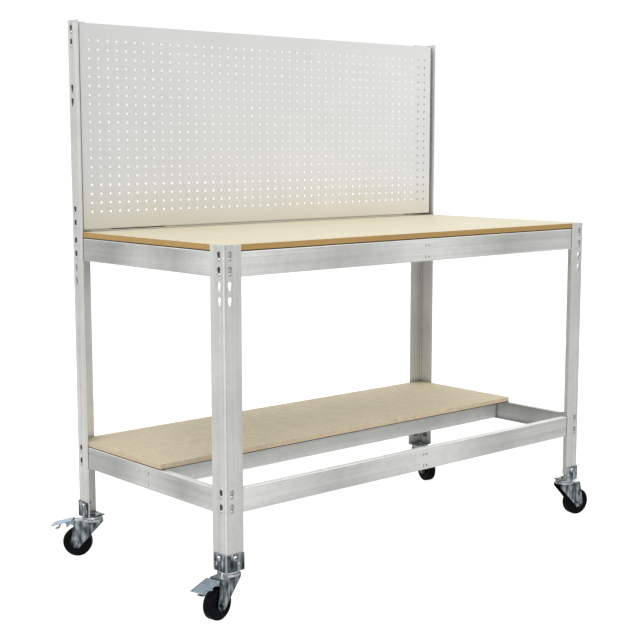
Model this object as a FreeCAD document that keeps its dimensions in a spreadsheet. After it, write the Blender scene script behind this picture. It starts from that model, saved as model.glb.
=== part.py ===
import FreeCAD, Part
import math
import os
import Sketcher

# Assembly table on castors: a boltless steel bench with a perforated back panel.
# Four folded angle posts carry folded beams whose rivets drop into teardrop slots,
# the boards lie on the beam flanges, and every post stands on a swivel castor.
# Lengths in millimetres, angles in degrees, +Z up, floor at Z = 0,
# origin on the floor under the middle of the post outline, +X along the length.

doc = FreeCAD.newDocument("assembly_table")
sheet = doc.addObject("Spreadsheet::Sheet", "Sizes")
probe = doc.addObject("Part::Vertex", "Probe")

# The driving dimensions, by the names that they have in the spreadsheet
SIZES = {
    # Overall outline
    "length": 1443.5,  # over the posts, left to right
    "depth": 714.2,  # over the posts, front to back
    "worktop_height": 962,  # top face of the worktop
    "post_foot": 125,  # lower ends of the posts, on the castor brackets
    # Angle posts
    "post_leaf": 56.2,  # width of each leaf
    "post_sheet": 2,  # post steel thickness
    "post_bend": 6,  # outer bend radius of the post
    # Teardrop slots and the rivets that hang in them
    "slot_inset": 19.5,  # slot centre from the outer corner of the post
    "slot_head_radius": 6,  # wide upper end
    "slot_tip_radius": 3,  # narrow lower end
    "slot_rise": 14,  # from narrow to wide centre
    "slot_pitch": 38.1,  # between slots, up the post
    "rivet_shank_radius": 2.7,  # rivet shank
    "rivet_head_radius": 4.75,  # rivet head
    "rivet_head_height": 2,  # rivet head
    # Folded beams
    "beam_height": 63.5,  # height of every beam
    "beam_sheet": 1.5,  # beam steel thickness
    "beam_flange": 18,  # top flange under the board
    "beam_lip": 10,  # bottom lip
    "beam_bend": 2.5,  # outer bend radius of the beam
    "beam_step": 1.6,  # how far the web stands out past its end tabs
    "beam_start": 8,  # end of the tab from the outer corner of the post
    "step_gap": 1.2,  # leaf edge to the start of the step
    "step_run": 2.4,  # length of the step
    "rivet_edge": 7,  # lower rivet above the bottom of the beam
    "lower_beam_z": 273,  # bottom of the lower beams
    "hook_slit_height": 10,  # slit for the hook of a tie
    "hook_slit_width": 2,  # slit for the hook of a tie
    "hook_clearance": 0.2,  # above and below a hook in its slit
    "hook_low": 12,  # lower slit centre above the bottom of the beam
    "hook_pitch": 33,  # between the two slits of a pair
    "dot_offset": 12,  # round hole beside each slit
    "dot_radius": 2.6,  # round hole beside each slit
    # Boards
    "worktop_sheet": 18,  # worktop board
    "shelf_sheet": 16,  # lower shelf board
    "shelf_depth": 420,  # lower shelf, front to back
    "board_clearance": 0.2,  # board edge to post leaf
    "board_corner": 6,  # rounded corner of a board
    "tie_setback": 54,  # front edge of the shelf to the tie beam under it
    "tie_gap": 1.1,  # tie to the folds of the beam it meets
    # Back panel
    "panel_lift": 3,  # lower edge of the panel above the worktop
    "panel_low_rise": 11.1,  # lowest slots that hold the panel, above its lower edge
    "panel_mid_rise": 354,  # spare slots behind the panel, above its lower edge
    "panel_high_rise": 519.1,  # highest slots that hold the panel, above its lower edge
    "post_over_panel": 7,  # top of the tall back posts above the panel
    "panel_height": 583,  # height of the panel
    "panel_sheet": 1.2,  # panel steel thickness
    "panel_recess": 11.6,  # face behind the front edge of the back post
    "panel_margin": 12,  # face edge to the outer plane of the post
    "panel_return": 12,  # depth of the folded edges
    "panel_flange": 22.8,  # side flange that lies in the post
    "panel_clearance": 0.2,  # panel flange to the bend of the post
    # Castor brackets
    "bracket_sheet": 3,  # bracket steel thickness
    "bracket_rise": 43,  # above the foot of the post
    "bracket_long": 60,  # leaf along the length of the bench
    "bracket_short": 52,  # leaf along the depth of the bench
    "window": 12,  # square window in each leaf
    "window_offset": 41,  # window centre from the corner of the post
    "window_rise": 15.5,  # window centre above the foot of the post
    "bolt_offset": 28,  # bolt from the corner of the post
    "bolt_rise": 31,  # bolt above the foot of the post
    "bolt_radius": 4,  # bolt shank
    "bolt_head_radius": 8.5,  # domed bolt head
    "bolt_head_height": 5,  # domed bolt head
    "nut_flat": 6.5,  # centre to flat of every nut
    "nut_height": 6.5,  # nut
    "hole_clearance": 0.05,  # round a shank in its hole
    # Swivel castors
    "swivel_inset": 28,  # swivel axis from both outer faces of the post
    "trail": 46,  # swivel axis to wheel axle
    "wheel_radius": 42.5,  # castor wheel
    "tyre_width": 28,  # castor wheel
    "hub_radius": 27,  # wheel centre
    "hub_length": 33.4,  # between the fork legs
    "hub_boss_flat": 10.5,  # centre to flat of the hub's middle, beside each leg
    "hub_inset": 1,  # rim of the hub inside the tyre's sides
    "race_radius": 29,  # fixed race of the swivel
    "race_height": 7,  # fixed race of the swivel
    "swivel_gap": 0.3,  # between the turning and the fixed faces
    "crown_radius": 30,  # round top of the fork
    "crown_height": 6.7,  # round top of the fork
    "fork_sheet": 2.5,  # fork steel thickness
    "fork_inside": 34,  # between the fork legs
    "fork_heel": 27,  # fork behind the swivel axis
    "fork_toe": 51,  # fork in front of the swivel axis
    "fork_heel_depth": 9,  # back edge of each leg, below the crown
    "fork_end_radius": 16,  # lower end of each leg
    "kingpin_radius": 6,  # swivel pin
    "kingpin_head_flat": 9.5,  # centre to flat of both heads of the swivel pin
    "kingpin_head_height": 4,  # both heads of the swivel pin
    "axle_radius": 4,  # wheel axle
    "axle_head_flat": 6.5,  # centre to flat of the head of the wheel axle
    "axle_head_height": 5,  # head of the wheel axle
    "axle_tail": 1,  # end of the axle beyond its nut
    "running_clearance": 0.05,  # radial, pin in a turning part
    # Brake pedals on the two left castors
    "pedal_pivot_x": 44,  # pedal pin from the swivel axis
    "pedal_pivot_z": 98,  # pedal pin above the floor
    "pedal_pin_radius": 3,  # pedal pin
    "pedal_pin_head_flat": 4.6,  # centre to flat of both heads of the pedal pin
    "pedal_sheet": 2.5,  # pedal steel thickness
    "pedal_ear_radius": 6,  # ear round the pin
    "pedal_ear_reach": 20,  # ear under the tread
    "pedal_width": 46,  # across the tread
    "pedal_ear_gap": 0.4,  # pedal ear to fork leg
    "pedal_inner_x": 60,  # inner edge of the tread from the swivel axis
    "pedal_inner_z": 110,  # inner edge of the tread above the floor
    "pedal_outer_x": 122,  # outer edge of the tread from the swivel axis
    "pedal_outer_z": 93,  # outer edge of the tread above the floor
    "shoe_x": 76,  # brake shoe from the swivel axis
    "shoe_z": 86,  # lower edge of the brake shoe above the floor
    "shoe_width": 20,  # brake shoe
    "tab_x": 104,  # release tab from the swivel axis
    "tab_z": 80,  # release tab above the floor
    "tab_width": 18.4,  # release tab
    "tab_reach": 7.5,  # release tab, outwards and back up to the tread
    # How each castor is parked, turned about its swivel axis from +X
    "turn_front_left": 192,  # trail direction
    "turn_front_right": -14,  # trail direction
    "turn_back_left": 134,  # trail direction
    "turn_back_right": 256,  # trail direction
}
for row, (alias, value) in enumerate(SIZES.items(), start=1):
    sheet.set("A%d" % row, alias.replace("_", " "))
    sheet.set("B%d" % row, str(value))
    sheet.setAlias("B%d" % row, alias)
doc.recompute()

S = "Sizes."


def number(expression):
    """The present value of an expression on the sheet, for a first sketch or a plain shape."""
    probe.setExpression("X", expression)
    probe.recompute()
    return probe.X.Value


def new_body(label):
    body = doc.addObject("PartDesign::Body", label)
    body.Label = label
    return body


def place(thing, x, y, z="0", turn="0"):
    """Stand an object at x, y, z, turned about the vertical."""
    thing.setExpression("Placement.Base.x", x)
    thing.setExpression("Placement.Base.y", y)
    thing.setExpression("Placement.Base.z", z)
    thing.Placement.Rotation.Axis = FreeCAD.Vector(0, 0, 1)
    thing.setExpression("Placement.Rotation.Angle", turn)


def datum(body, role):
    for feature in body.Origin.OriginFeatures:
        if feature.Role == role:
            return feature
    raise ValueError(role)


def new_sketch(body, plane, lift="0"):
    """An empty sketch on an origin plane of its own body, lifted along the plane's normal."""
    sketch = body.newObject("Sketcher::SketchObject", body.Label + "_sketch")
    sketch.AttachmentSupport = (datum(body, plane), [""])
    sketch.MapMode = "FlatFace"
    sketch.setExpression("AttachmentOffset.Base.z", lift)
    return sketch


def fix_point(sketch, geometry, point, x, y):
    """Hold a point of the sketch at two expressions."""
    for kind, expression in (("DistanceX", x), ("DistanceY", y)):
        value = number(expression)
        index = sketch.addConstraint(Sketcher.Constraint(kind, -1, 1, geometry, point, value))
        sketch.setExpression("Constraints[%d]" % index, expression)


def outline(sketch, corners):
    """A closed outline of straight sides through corners given as expressions."""
    first = sketch.GeometryCount
    points = [FreeCAD.Vector(number(x), number(y), 0) for x, y in corners]
    count = len(points)
    for index in range(count):
        side = Part.LineSegment(points[index], points[(index + 1) % count])
        sketch.addGeometry(side, False)
    for index in range(count):
        other = first + (index + 1) % count
        sketch.addConstraint(Sketcher.Constraint("Coincident", first + index, 2, other, 1))
    for index, (x, y) in enumerate(corners):
        fix_point(sketch, first + index, 1, x, y)


def circle(sketch, x, y, radius):
    """A circle whose centre and radius are expressions."""
    centre = FreeCAD.Vector(number(x), number(y), 0)
    up = FreeCAD.Vector(0, 0, 1)
    ring = sketch.addGeometry(Part.Circle(centre, up, number(radius)), False)
    index = sketch.addConstraint(Sketcher.Constraint("Radius", ring, number(radius)))
    sketch.setExpression("Constraints[%d]" % index, radius)
    fix_point(sketch, ring, 3, x, y)


def regular(x, y, flat, sides, first=0, last=None):
    """Corners of a regular outline round x, y, its flats at a radius, or a run of those corners."""
    half_step = 180 / sides
    reach = " + (" + flat + ") / cos(%g deg)" % half_step
    corners = []
    for index in range(first, sides if last is None else last):
        angle = half_step * (2 * index + 1)
        corners.append((x + reach + " * cos(%g deg)" % angle, y + reach + " * sin(%g deg)" % angle))
    return corners


def pad(body, sketch, length, symmetric=False, reverse=False):
    feature = body.newObject("PartDesign::Pad", body.Label + "_pad")
    feature.Profile = sketch
    feature.setExpression("Length", length)
    feature.SideType = "Symmetric" if symmetric else "One side"
    feature.Reversed = reverse
    return feature


def cut_through(body, sketch):
    """A pocket through the whole body, both ways from its sketch."""
    feature = body.newObject("PartDesign::Pocket", body.Label + "_pocket")
    feature.Profile = sketch
    feature.Type = "ThroughAll"
    feature.SideType = "Symmetric"
    return feature


def cut_length(body, sketch, length, reverse=False):
    feature = body.newObject("PartDesign::Pocket", body.Label + "_pocket")
    feature.Profile = sketch
    feature.setExpression("Length", length)
    feature.Reversed = reverse
    return feature


def round_edges(body, radius, chosen):
    """Round the straight edges of the tip whose middle the given test accepts."""
    body.Document.recompute()
    base = body.Tip
    names = []
    for index, edge in enumerate(base.Shape.Edges):
        middle = edge.valueAt((edge.FirstParameter + edge.LastParameter) / 2)
        if chosen(edge, middle):
            names.append("Edge%d" % (index + 1))
    feature = body.newObject("PartDesign::Fillet", body.Label + "_fillet")
    feature.Base = (base, names)
    feature.setExpression("Radius", radius)
    return feature


def near(value, expression):
    return abs(value - number(expression)) < 0.01


LEFT = "-Sizes.length / 2"
RIGHT = "Sizes.length / 2"
FRONT = "-Sizes.depth / 2"
BACK = "Sizes.depth / 2"
TOP_BEAM_Z = "Sizes.worktop_height - Sizes.worktop_sheet - Sizes.beam_height"
LOWER_BEAM_Z = "Sizes.lower_beam_z"


# ---------------------------------------------------------------- angle posts
# Each post is one strip folded to a right angle. The corner stands at the local
# origin with the leaves along local +X and +Y. Teardrop slots are punched in rows
# up each leaf: the rivet enters the wide end and drops to the narrow one. Both ends
# of a slot are drawn with short flats, as the rivets are.
FLATS = 8


def teardrop(body, on_x_leaf, lowest_z, times):
    """A column of teardrop slots through one leaf, counted up from the lowest."""
    sketch = new_sketch(body, "XZ_Plane" if on_x_leaf else "YZ_Plane")
    across = S + "slot_inset"
    wide_z = lowest_z + " + Sizes.slot_rise"
    over = regular(across, wide_z, S + "slot_head_radius", FLATS, -1, 5)
    under = regular(across, lowest_z, S + "slot_tip_radius", FLATS, 4, 8)
    outline(sketch, over + under)
    pocket = cut_through(body, sketch)
    doc.recompute()
    before = pocket.Shape.Volume
    pattern = body.newObject("PartDesign::LinearPattern", body.Label + "_pattern")
    pattern.Originals = [pocket]
    pattern.Direction = (datum(body, "Z_Axis"), [""])
    pattern.Mode = "Spacing"
    pattern.setExpression("Offset", S + "slot_pitch")
    pattern.Occurrences = times
    body.Tip = pattern
    doc.recompute()
    if pattern.Shape.Volume >= before - 1:
        raise ValueError("the slots of %s cut nothing" % body.Label)


BEAM_SLOTS = [
    (LOWER_BEAM_Z + " + Sizes.rivet_edge", 2),
    (TOP_BEAM_Z + " + Sizes.rivet_edge - 2 * Sizes.slot_pitch", 4),
]
PANEL_BOTTOM = "(Sizes.worktop_height + Sizes.panel_lift)"
PANEL_SLOTS = [
    (PANEL_BOTTOM + " + Sizes.panel_low_rise", 2),
    (PANEL_BOTTOM + " + Sizes.panel_mid_rise", 2),
    (PANEL_BOTTOM + " + Sizes.panel_high_rise", 2),
]


def angle_post(label, top, x_slots, y_slots, x, y, turn):
    body = new_body(label)
    section = new_sketch(body, "XY_Plane", S + "post_foot")
    leaf = S + "post_leaf"
    sheet_t = S + "post_sheet"
    corners = [("0", "0"), (leaf, "0"), (leaf, sheet_t), (sheet_t, sheet_t), (sheet_t, leaf), ("0", leaf)]
    outline(section, corners)
    pad(body, section, top + " - Sizes.post_foot")
    round_edges(body, S + "post_bend", lambda edge, middle: abs(middle.x) + abs(middle.y) < 0.01)
    inner = S + "post_bend - Sizes.post_sheet"
    round_edges(
        body,
        inner,
        lambda edge, middle: near(middle.x, sheet_t) and near(middle.y, sheet_t) and edge.Length > 100,
    )
    for lowest, times in x_slots:
        teardrop(body, True, lowest, times)
    for lowest, times in y_slots:
        teardrop(body, False, lowest, times)
    bolt_z = "Sizes.post_foot + Sizes.bolt_rise"
    for plane in ("XZ_Plane", "YZ_Plane"):
        hole = new_sketch(body, plane)
        outline(hole, regular(S + "bolt_offset", bolt_z, "Sizes.bolt_radius + Sizes.hole_clearance", FLATS))
        cut_through(body, hole)
    place(body, x, y, "0", turn)
    return body


sub_parts = []
short = S + "worktop_height"
tall = PANEL_BOTTOM + " + Sizes.panel_height + Sizes.post_over_panel"
both = BEAM_SLOTS + PANEL_SLOTS
sub_parts += [
    angle_post("post_front_left", short, BEAM_SLOTS, BEAM_SLOTS, LEFT, FRONT, "0"),
    angle_post("post_front_right", short, BEAM_SLOTS, BEAM_SLOTS, RIGHT, FRONT, "90"),
    angle_post("post_back_left", tall, both, BEAM_SLOTS, LEFT, BACK, "-90"),
    angle_post("post_back_right", tall, BEAM_SLOTS, both, RIGHT, BACK, "180"),
]


# --------------------------------------------------------------------- beams
# A beam is a folded channel: web, top flange under the board, bottom lip. Its web
# ends in flat tabs that step back behind the post leaf and carry the rivets.
# Local +X along the beam, local Y = 0 on the leaf's inner face, +Y inwards.
STEP_START = "(Sizes.post_leaf - Sizes.beam_start + Sizes.step_gap)"
WEB_START = "(Sizes.post_leaf - Sizes.beam_start + Sizes.step_gap + Sizes.step_run)"


def channel(body, start, span, web):
    """The folded section along local X, its web's outer face at local Y = web."""
    section = new_sketch(body, "YZ_Plane", start)
    skin = S + "beam_sheet"
    top = S + "beam_height"
    under = top + " - " + skin
    inner = web + " + " + skin
    flange = web + " + Sizes.beam_flange"
    lip = web + " + Sizes.beam_lip"
    corners = [(web, "0"), (lip, "0"), (lip, skin), (inner, skin)]
    corners += [(inner, under), (flange, under), (flange, top), (web, top)]
    outline(section, corners)
    pad(body, section, span + " - 2 * (" + start + ")")
    outer_bends = lambda edge, middle: (
        near(middle.y, web) and (near(middle.z, "0") or near(middle.z, top)) and edge.Length > 100
    )
    inner_bends = lambda edge, middle: (
        near(middle.y, inner) and (near(middle.z, skin) or near(middle.z, under)) and edge.Length > 100
    )
    round_edges(body, S + "beam_bend", outer_bends)
    round_edges(body, "Sizes.beam_bend - Sizes.beam_sheet", inner_bends)


def hook_slits(body, along, dot_side):
    """Two slits that take the hooks of a tie, each with a round hole beside it."""
    holes = new_sketch(body, "XZ_Plane")
    for centre in ("Sizes.hook_low", "(Sizes.hook_low + Sizes.hook_pitch)"):
        left = along + " - Sizes.hook_slit_width / 2"
        right = along + " + Sizes.hook_slit_width / 2"
        under = centre + " - Sizes.hook_slit_height / 2"
        over = centre + " + Sizes.hook_slit_height / 2"
        outline(holes, [(left, under), (right, under), (right, over), (left, over)])
        circle(holes, along + dot_side + "Sizes.dot_offset", centre, S + "dot_radius")
    cut_through(body, holes)


def beam(label, span, x, y, z, turn, slit=None, dot_side=" + "):
    body = new_body(label)
    channel(body, WEB_START, span, "-Sizes.beam_step")
    skin = S + "beam_sheet"
    out = "-Sizes.beam_step"
    back = "-Sizes.beam_step + Sizes.beam_sheet"
    near_end = [("0", "0"), (STEP_START, "0"), (WEB_START, out)]
    near_end += [(WEB_START, back), (STEP_START, skin), ("0", skin)]
    far_end = [(span + " - " + x_end, y_end) for x_end, y_end in near_end]
    for tab in (near_end, far_end):
        plan = new_sketch(body, "XY_Plane")
        outline(plan, tab)
        pad(body, plan, S + "beam_height")
    if slit:
        hook_slits(body, slit, dot_side)
    place(body, x, y, z, turn)
    return body


LONG_SPAN = "(Sizes.length - 2 * Sizes.beam_start)"
SIDE_SPAN = "(Sizes.depth - 2 * Sizes.beam_start)"
IN_LEFT = LEFT + " + Sizes.post_sheet"
IN_RIGHT = RIGHT + " - Sizes.post_sheet"
IN_FRONT = FRONT + " + Sizes.post_sheet"
IN_BACK = BACK + " - Sizes.post_sheet"
TIE_Y = "(" + IN_BACK + " - Sizes.board_clearance - Sizes.shelf_depth + Sizes.tie_setback)"
TIE_FROM_BACK = "(" + BACK + " - Sizes.beam_start - " + TIE_Y + " - Sizes.beam_sheet / 2)"
TIE_FROM_FRONT = "(" + TIE_Y + " + Sizes.beam_sheet / 2 - (" + FRONT + ") - Sizes.beam_start)"

for level, z in (("top", TOP_BEAM_Z), ("lower", LOWER_BEAM_Z)):
    middle = LONG_SPAN + " / 2"
    from_back = TIE_FROM_BACK if level == "lower" else None
    from_front = TIE_FROM_FRONT if level == "lower" else None
    left_end = LEFT + " + Sizes.beam_start"
    right_end = RIGHT + " - Sizes.beam_start"
    front_end = FRONT + " + Sizes.beam_start"
    back_end = BACK + " - Sizes.beam_start"
    sub_parts += [
        beam(level + "_beam_front", LONG_SPAN, left_end, IN_FRONT, z, "0", middle),
        beam(level + "_beam_back", LONG_SPAN, right_end, IN_BACK, z, "180", middle),
        beam(level + "_beam_left", SIDE_SPAN, IN_LEFT, back_end, z, "-90", from_back, " - "),
        beam(level + "_beam_right", SIDE_SPAN, IN_RIGHT, front_end, z, "90", from_front),
    ]


# ---------------------------------------------------------------------- ties
# A tie is the same channel without the stepped tabs. Its bare web reaches between
# the folds of the beam it meets and two hooks go through that beam's slits.
WEB_INSET = "Sizes.post_sheet - Sizes.beam_step + Sizes.beam_sheet"
FOLD_REACH = "(Sizes.beam_flange - Sizes.beam_sheet + Sizes.tie_gap)"


def tie(label, span, x, y, z, turn):
    body = new_body(label)
    channel(body, FOLD_REACH, span, "0")
    skin = S + "beam_sheet"
    bottom = skin + " + Sizes.tie_gap"
    top = "Sizes.beam_height - Sizes.beam_sheet - Sizes.tie_gap"
    half = "(Sizes.hook_slit_height / 2 - Sizes.hook_clearance)"
    low_hook = "Sizes.hook_low"
    high_hook = "(Sizes.hook_low + Sizes.hook_pitch)"
    reach = "-Sizes.beam_sheet"
    shape = [(FOLD_REACH, bottom), ("0", bottom)]
    for centre in (low_hook, high_hook):
        shape += [("0", centre + " - " + half), (reach, centre + " - " + half)]
        shape += [(reach, centre + " + " + half), ("0", centre + " + " + half)]
    shape += [("0", top), (FOLD_REACH, top)]
    for end in (shape, [(span + " - (" + x_end + ")", z_end) for x_end, z_end in shape]):
        web = new_sketch(body, "XZ_Plane")
        outline(web, end)
        pad(body, web, skin, reverse=True)
    place(body, x, y, z, turn)
    return body


across = "(Sizes.length - 2 * (" + WEB_INSET + "))"
through = "(Sizes.depth - 2 * (" + WEB_INSET + "))"
half_web = "Sizes.beam_sheet / 2"
sub_parts += [
    tie("shelf_front_beam", across, LEFT + " + " + WEB_INSET, TIE_Y, LOWER_BEAM_Z, "0"),
    tie("worktop_centre_support", through, half_web, FRONT + " + " + WEB_INSET, TOP_BEAM_Z, "90"),
]


# -------------------------------------------------------------------- boards
# Both boards lie on the beam flanges inside the angles of the posts. The worktop
# fills the frame; the shelf stops short and overhangs its tie at the front.
BOARD_LEFT = IN_LEFT + " + Sizes.board_clearance"
BOARD_RIGHT = IN_RIGHT + " - Sizes.board_clearance"
BOARD_BACK = IN_BACK + " - Sizes.board_clearance"


def board(label, front, bottom, thickness, rounded):
    body = new_body(label)
    plan = new_sketch(body, "XY_Plane")
    front_edge = [(BOARD_LEFT, front), (BOARD_RIGHT, front)]
    back_edge = [(BOARD_RIGHT, BOARD_BACK), (BOARD_LEFT, BOARD_BACK)]
    outline(plan, front_edge + back_edge)
    pad(body, plan, thickness)
    round_edges(body, S + "board_corner", rounded)
    place(body, "0", "0", bottom)
    return body


def upright(edge, middle):
    return len(edge.Vertexes) == 2 and abs(edge.Vertexes[0].X - edge.Vertexes[1].X) < 0.001 and (
        abs(edge.Vertexes[0].Y - edge.Vertexes[1].Y) < 0.001
    )


sub_parts += [
    board(
        "worktop",
        IN_FRONT + " + Sizes.board_clearance",
        "Sizes.worktop_height - Sizes.worktop_sheet",
        S + "worktop_sheet",
        upright,
    ),
    board(
        "lower_shelf",
        BOARD_BACK + " - Sizes.shelf_depth",
        LOWER_BEAM_Z + " + Sizes.beam_height",
        S + "shelf_sheet",
        lambda edge, middle: upright(edge, middle) and middle.y > 0,
    ),
]


# ---------------------------------------------------------------- back panel
# One sheet: the face stands forward between the posts, both ends fold back, step
# out and lie flat in the post leaf, and the long edges fold back as returns.
def back_panel(label):
    body = new_body(label)
    skin = S + "panel_sheet"
    face = "(" + BACK + " - Sizes.post_leaf + Sizes.panel_recess)"
    flange_back = "(" + BACK + " - Sizes.post_bend - Sizes.panel_clearance)"
    step = "(" + flange_back + " - Sizes.panel_flange)"
    leaf = "(Sizes.length / 2 - Sizes.post_sheet)"
    edge = "(Sizes.length / 2 - Sizes.panel_margin)"
    outer = [(leaf, flange_back), (leaf, step), (edge, step), (edge, face)]
    inner = [(edge + " - " + skin, face + " + " + skin), (edge + " - " + skin, step + " + " + skin)]
    inner += [(leaf + " - " + skin, step + " + " + skin), (leaf + " - " + skin, flange_back)]
    right_side = outer[::-1]
    corners = [("-" + x, y) for x, y in outer]
    corners += right_side
    corners += inner[::-1]
    corners += [("-(" + x + ")", y) for x, y in inner]
    plan = new_sketch(body, "XY_Plane")
    outline(plan, corners)
    pad(body, plan, S + "panel_height")
    fold_back = face + " + Sizes.panel_return"
    lid = [("-" + edge, face), (edge, face), (edge, fold_back), ("-" + edge, fold_back)]
    for lift in ("0", "Sizes.panel_height - Sizes.panel_sheet"):
        fold = new_sketch(body, "XY_Plane", lift)
        outline(fold, lid)
        pad(body, fold, skin)
    place(body, "0", "0", PANEL_BOTTOM)
    return body


sub_parts.append(back_panel("back_panel"))
doc.recompute()


# ----------------------------------------------------- rivets, bolts and nuts
# Small fasteners on the sides of the frame, drawn with eight flats. Each is made
# along +Z with its seat at the origin, then stood on the outer face of a leaf.
# Repeats share one sub-part.
def ring(flat, height, sides=FLATS):
    """A regular closed wire about Z, its flats at a radius."""
    reach = flat / math.cos(math.pi / sides)
    corners = []
    for index in range(sides + 1):
        angle = math.pi / sides * (2 * index + 1)
        corners.append(FreeCAD.Vector(reach * math.cos(angle), reach * math.sin(angle), height))
    return Part.makePolygon(corners)


def stud(profile):
    """A faceted solid about Z through (flat, height) pairs, from its lower to its upper end."""
    drums = []
    for (low_flat, low), (high_flat, high) in zip(profile, profile[1:]):
        if high > low:
            drums.append(Part.makeLoft([ring(low_flat, low), ring(high_flat, high)], True, True))
    return drums[0].multiFuse(drums[1:]) if drums[1:] else drums[0]


def group(label, shape, seats):
    """One sub-part of several like solids, each seated at a point facing outwards."""
    feature = doc.addObject("Part::Feature", label)
    copies = []
    for point, outwards in seats:
        copy = shape.Solids[0].copy()
        copy.Placement = FreeCAD.Placement(point, FreeCAD.Rotation(FreeCAD.Vector(0, 0, 1), outwards))
        copies.append(copy)
    feature.Shape = Part.makeCompound(copies)
    feature.Label = label
    feature.Placement = FreeCAD.Placement()
    return feature


half_length = number(RIGHT)
half_depth = number(BACK)
inset = number(S + "slot_inset")
rivet = stud(
    [
        (number(S + "rivet_shank_radius"), -number(S + "post_sheet")),
        (number(S + "rivet_shank_radius"), 0),
        (number(S + "rivet_head_radius"), 0),
        (number(S + "rivet_head_radius"), number("Sizes.rivet_head_height / 2")),
        (number("Sizes.rivet_head_radius * 0.6"), number(S + "rivet_head_height")),
    ]
)
beam_seats = []
panel_seats = []
for side in (-1, 1):
    across_face = FreeCAD.Vector(side, 0, 0)
    along_face = FreeCAD.Vector(0, side, 0)
    for bottom in (TOP_BEAM_Z, LOWER_BEAM_Z):
        for lift in (0, 1):
            z = number(bottom + " + Sizes.rivet_edge") + lift * number(S + "slot_pitch")
            for other in (-1, 1):
                x_point = FreeCAD.Vector(side * half_length, other * (half_depth - inset), z)
                y_point = FreeCAD.Vector(other * (half_length - inset), side * half_depth, z)
                beam_seats.append((x_point, across_face))
                beam_seats.append((y_point, along_face))
    for rise in ("panel_low_rise", "panel_high_rise"):
        for lift in (0, 1):
            z = number(PANEL_BOTTOM + " + Sizes." + rise) + lift * number(S + "slot_pitch")
            point = FreeCAD.Vector(side * half_length, half_depth - inset, z)
            panel_seats.append((point, across_face))
sub_parts.append(group("beam_rivets", rivet, beam_seats))
sub_parts.append(group("panel_rivets", rivet, panel_seats))

bracket_sheet = number(S + "bracket_sheet")
bolt_end = -number("Sizes.bracket_sheet + Sizes.post_sheet + Sizes.nut_height")
head_radius = number(S + "bolt_head_radius")
bolt = stud(
    [
        (number(S + "bolt_radius"), bolt_end),
        (number(S + "bolt_radius"), 0),
        (head_radius, 0),
        (head_radius, number("Sizes.bolt_head_height / 2")),
        (head_radius * 0.6, number(S + "bolt_head_height")),
    ]
)
nut_height = number(S + "nut_height")
nut_seat = -number("Sizes.bracket_sheet + Sizes.post_sheet")
nut_end = nut_seat - nut_height
nut_bore = number("Sizes.bolt_radius + Sizes.hole_clearance")
hexagon = Part.Face(ring(number(S + "nut_flat"), nut_end, 6))
nut_blank = hexagon.extrude(FreeCAD.Vector(0, 0, nut_height))
nut = nut_blank.cut(stud([(nut_bore, nut_end), (nut_bore, nut_seat)]))
bolt_seats = []
bolt_z = number("Sizes.post_foot + Sizes.bolt_rise")
bolt_inset = number(S + "bolt_offset")
for side in (-1, 1):
    for other in (-1, 1):
        x_out = side * (half_length + bracket_sheet)
        y_out = side * (half_depth + bracket_sheet)
        x_point = FreeCAD.Vector(x_out, other * (half_depth - bolt_inset), bolt_z)
        y_point = FreeCAD.Vector(other * (half_length - bolt_inset), y_out, bolt_z)
        bolt_seats.append((x_point, FreeCAD.Vector(side, 0, 0)))
        bolt_seats.append((y_point, FreeCAD.Vector(0, side, 0)))
sub_parts.append(group("bracket_bolts", bolt, bolt_seats))
sub_parts.append(group("bracket_nuts", nut, bolt_seats))


# ------------------------------------------------------------ castor brackets
# A folded cup under each post: a floor the post stands on and two leaves outside
# the post, each bolted through it above a square window.
PIN_HOLE = "Sizes.kingpin_radius + Sizes.hole_clearance"


def castor_bracket(label, along_x, along_y, x, y, turn):
    body = new_body(label)
    skin = S + "bracket_sheet"
    out = "-Sizes.bracket_sheet"
    rise = S + "bracket_rise"
    plan = new_sketch(body, "XY_Plane", out)
    outline(plan, [(out, out), (along_x, out), (along_x, along_y), (out, along_y)])
    pad(body, plan, rise + " + " + skin)
    room = new_sketch(body, "XY_Plane")
    outline(room, [("0", "0"), (along_x, "0"), (along_x, along_y), ("0", along_y)])
    cut_length(body, room, rise, reverse=True)
    bend = lambda edge, middle: near(middle.x, out) and near(middle.y, out) and upright(edge, middle)
    round_edges(body, S + "post_bend", bend)
    for plane in ("XZ_Plane", "YZ_Plane"):
        holes = new_sketch(body, plane)
        bolt_hole = "Sizes.bolt_radius + Sizes.hole_clearance"
        outline(holes, regular(S + "bolt_offset", S + "bolt_rise", bolt_hole, FLATS))
        left = "Sizes.window_offset - Sizes.window / 2"
        right = "Sizes.window_offset + Sizes.window / 2"
        under = "Sizes.window_rise - Sizes.window / 2"
        over = "Sizes.window_rise + Sizes.window / 2"
        outline(holes, [(left, under), (right, under), (right, over), (left, over)])
        cut_through(body, holes)
    pin_hole = new_sketch(body, "XY_Plane")
    outline(pin_hole, regular(S + "swivel_inset", S + "swivel_inset", PIN_HOLE, FLATS))
    cut_through(body, pin_hole)
    place(body, x, y, S + "post_foot", turn)
    return body


long_leaf = "(Sizes.bracket_long - Sizes.bracket_sheet)"
short_leaf = "(Sizes.bracket_short - Sizes.bracket_sheet)"
sub_parts += [
    castor_bracket("castor_bracket_front_left", long_leaf, short_leaf, LEFT, FRONT, "0"),
    castor_bracket("castor_bracket_front_right", short_leaf, long_leaf, RIGHT, FRONT, "90"),
    castor_bracket("castor_bracket_back_left", short_leaf, long_leaf, LEFT, BACK, "-90"),
    castor_bracket("castor_bracket_back_right", long_leaf, short_leaf, RIGHT, BACK, "180"),
]


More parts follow.
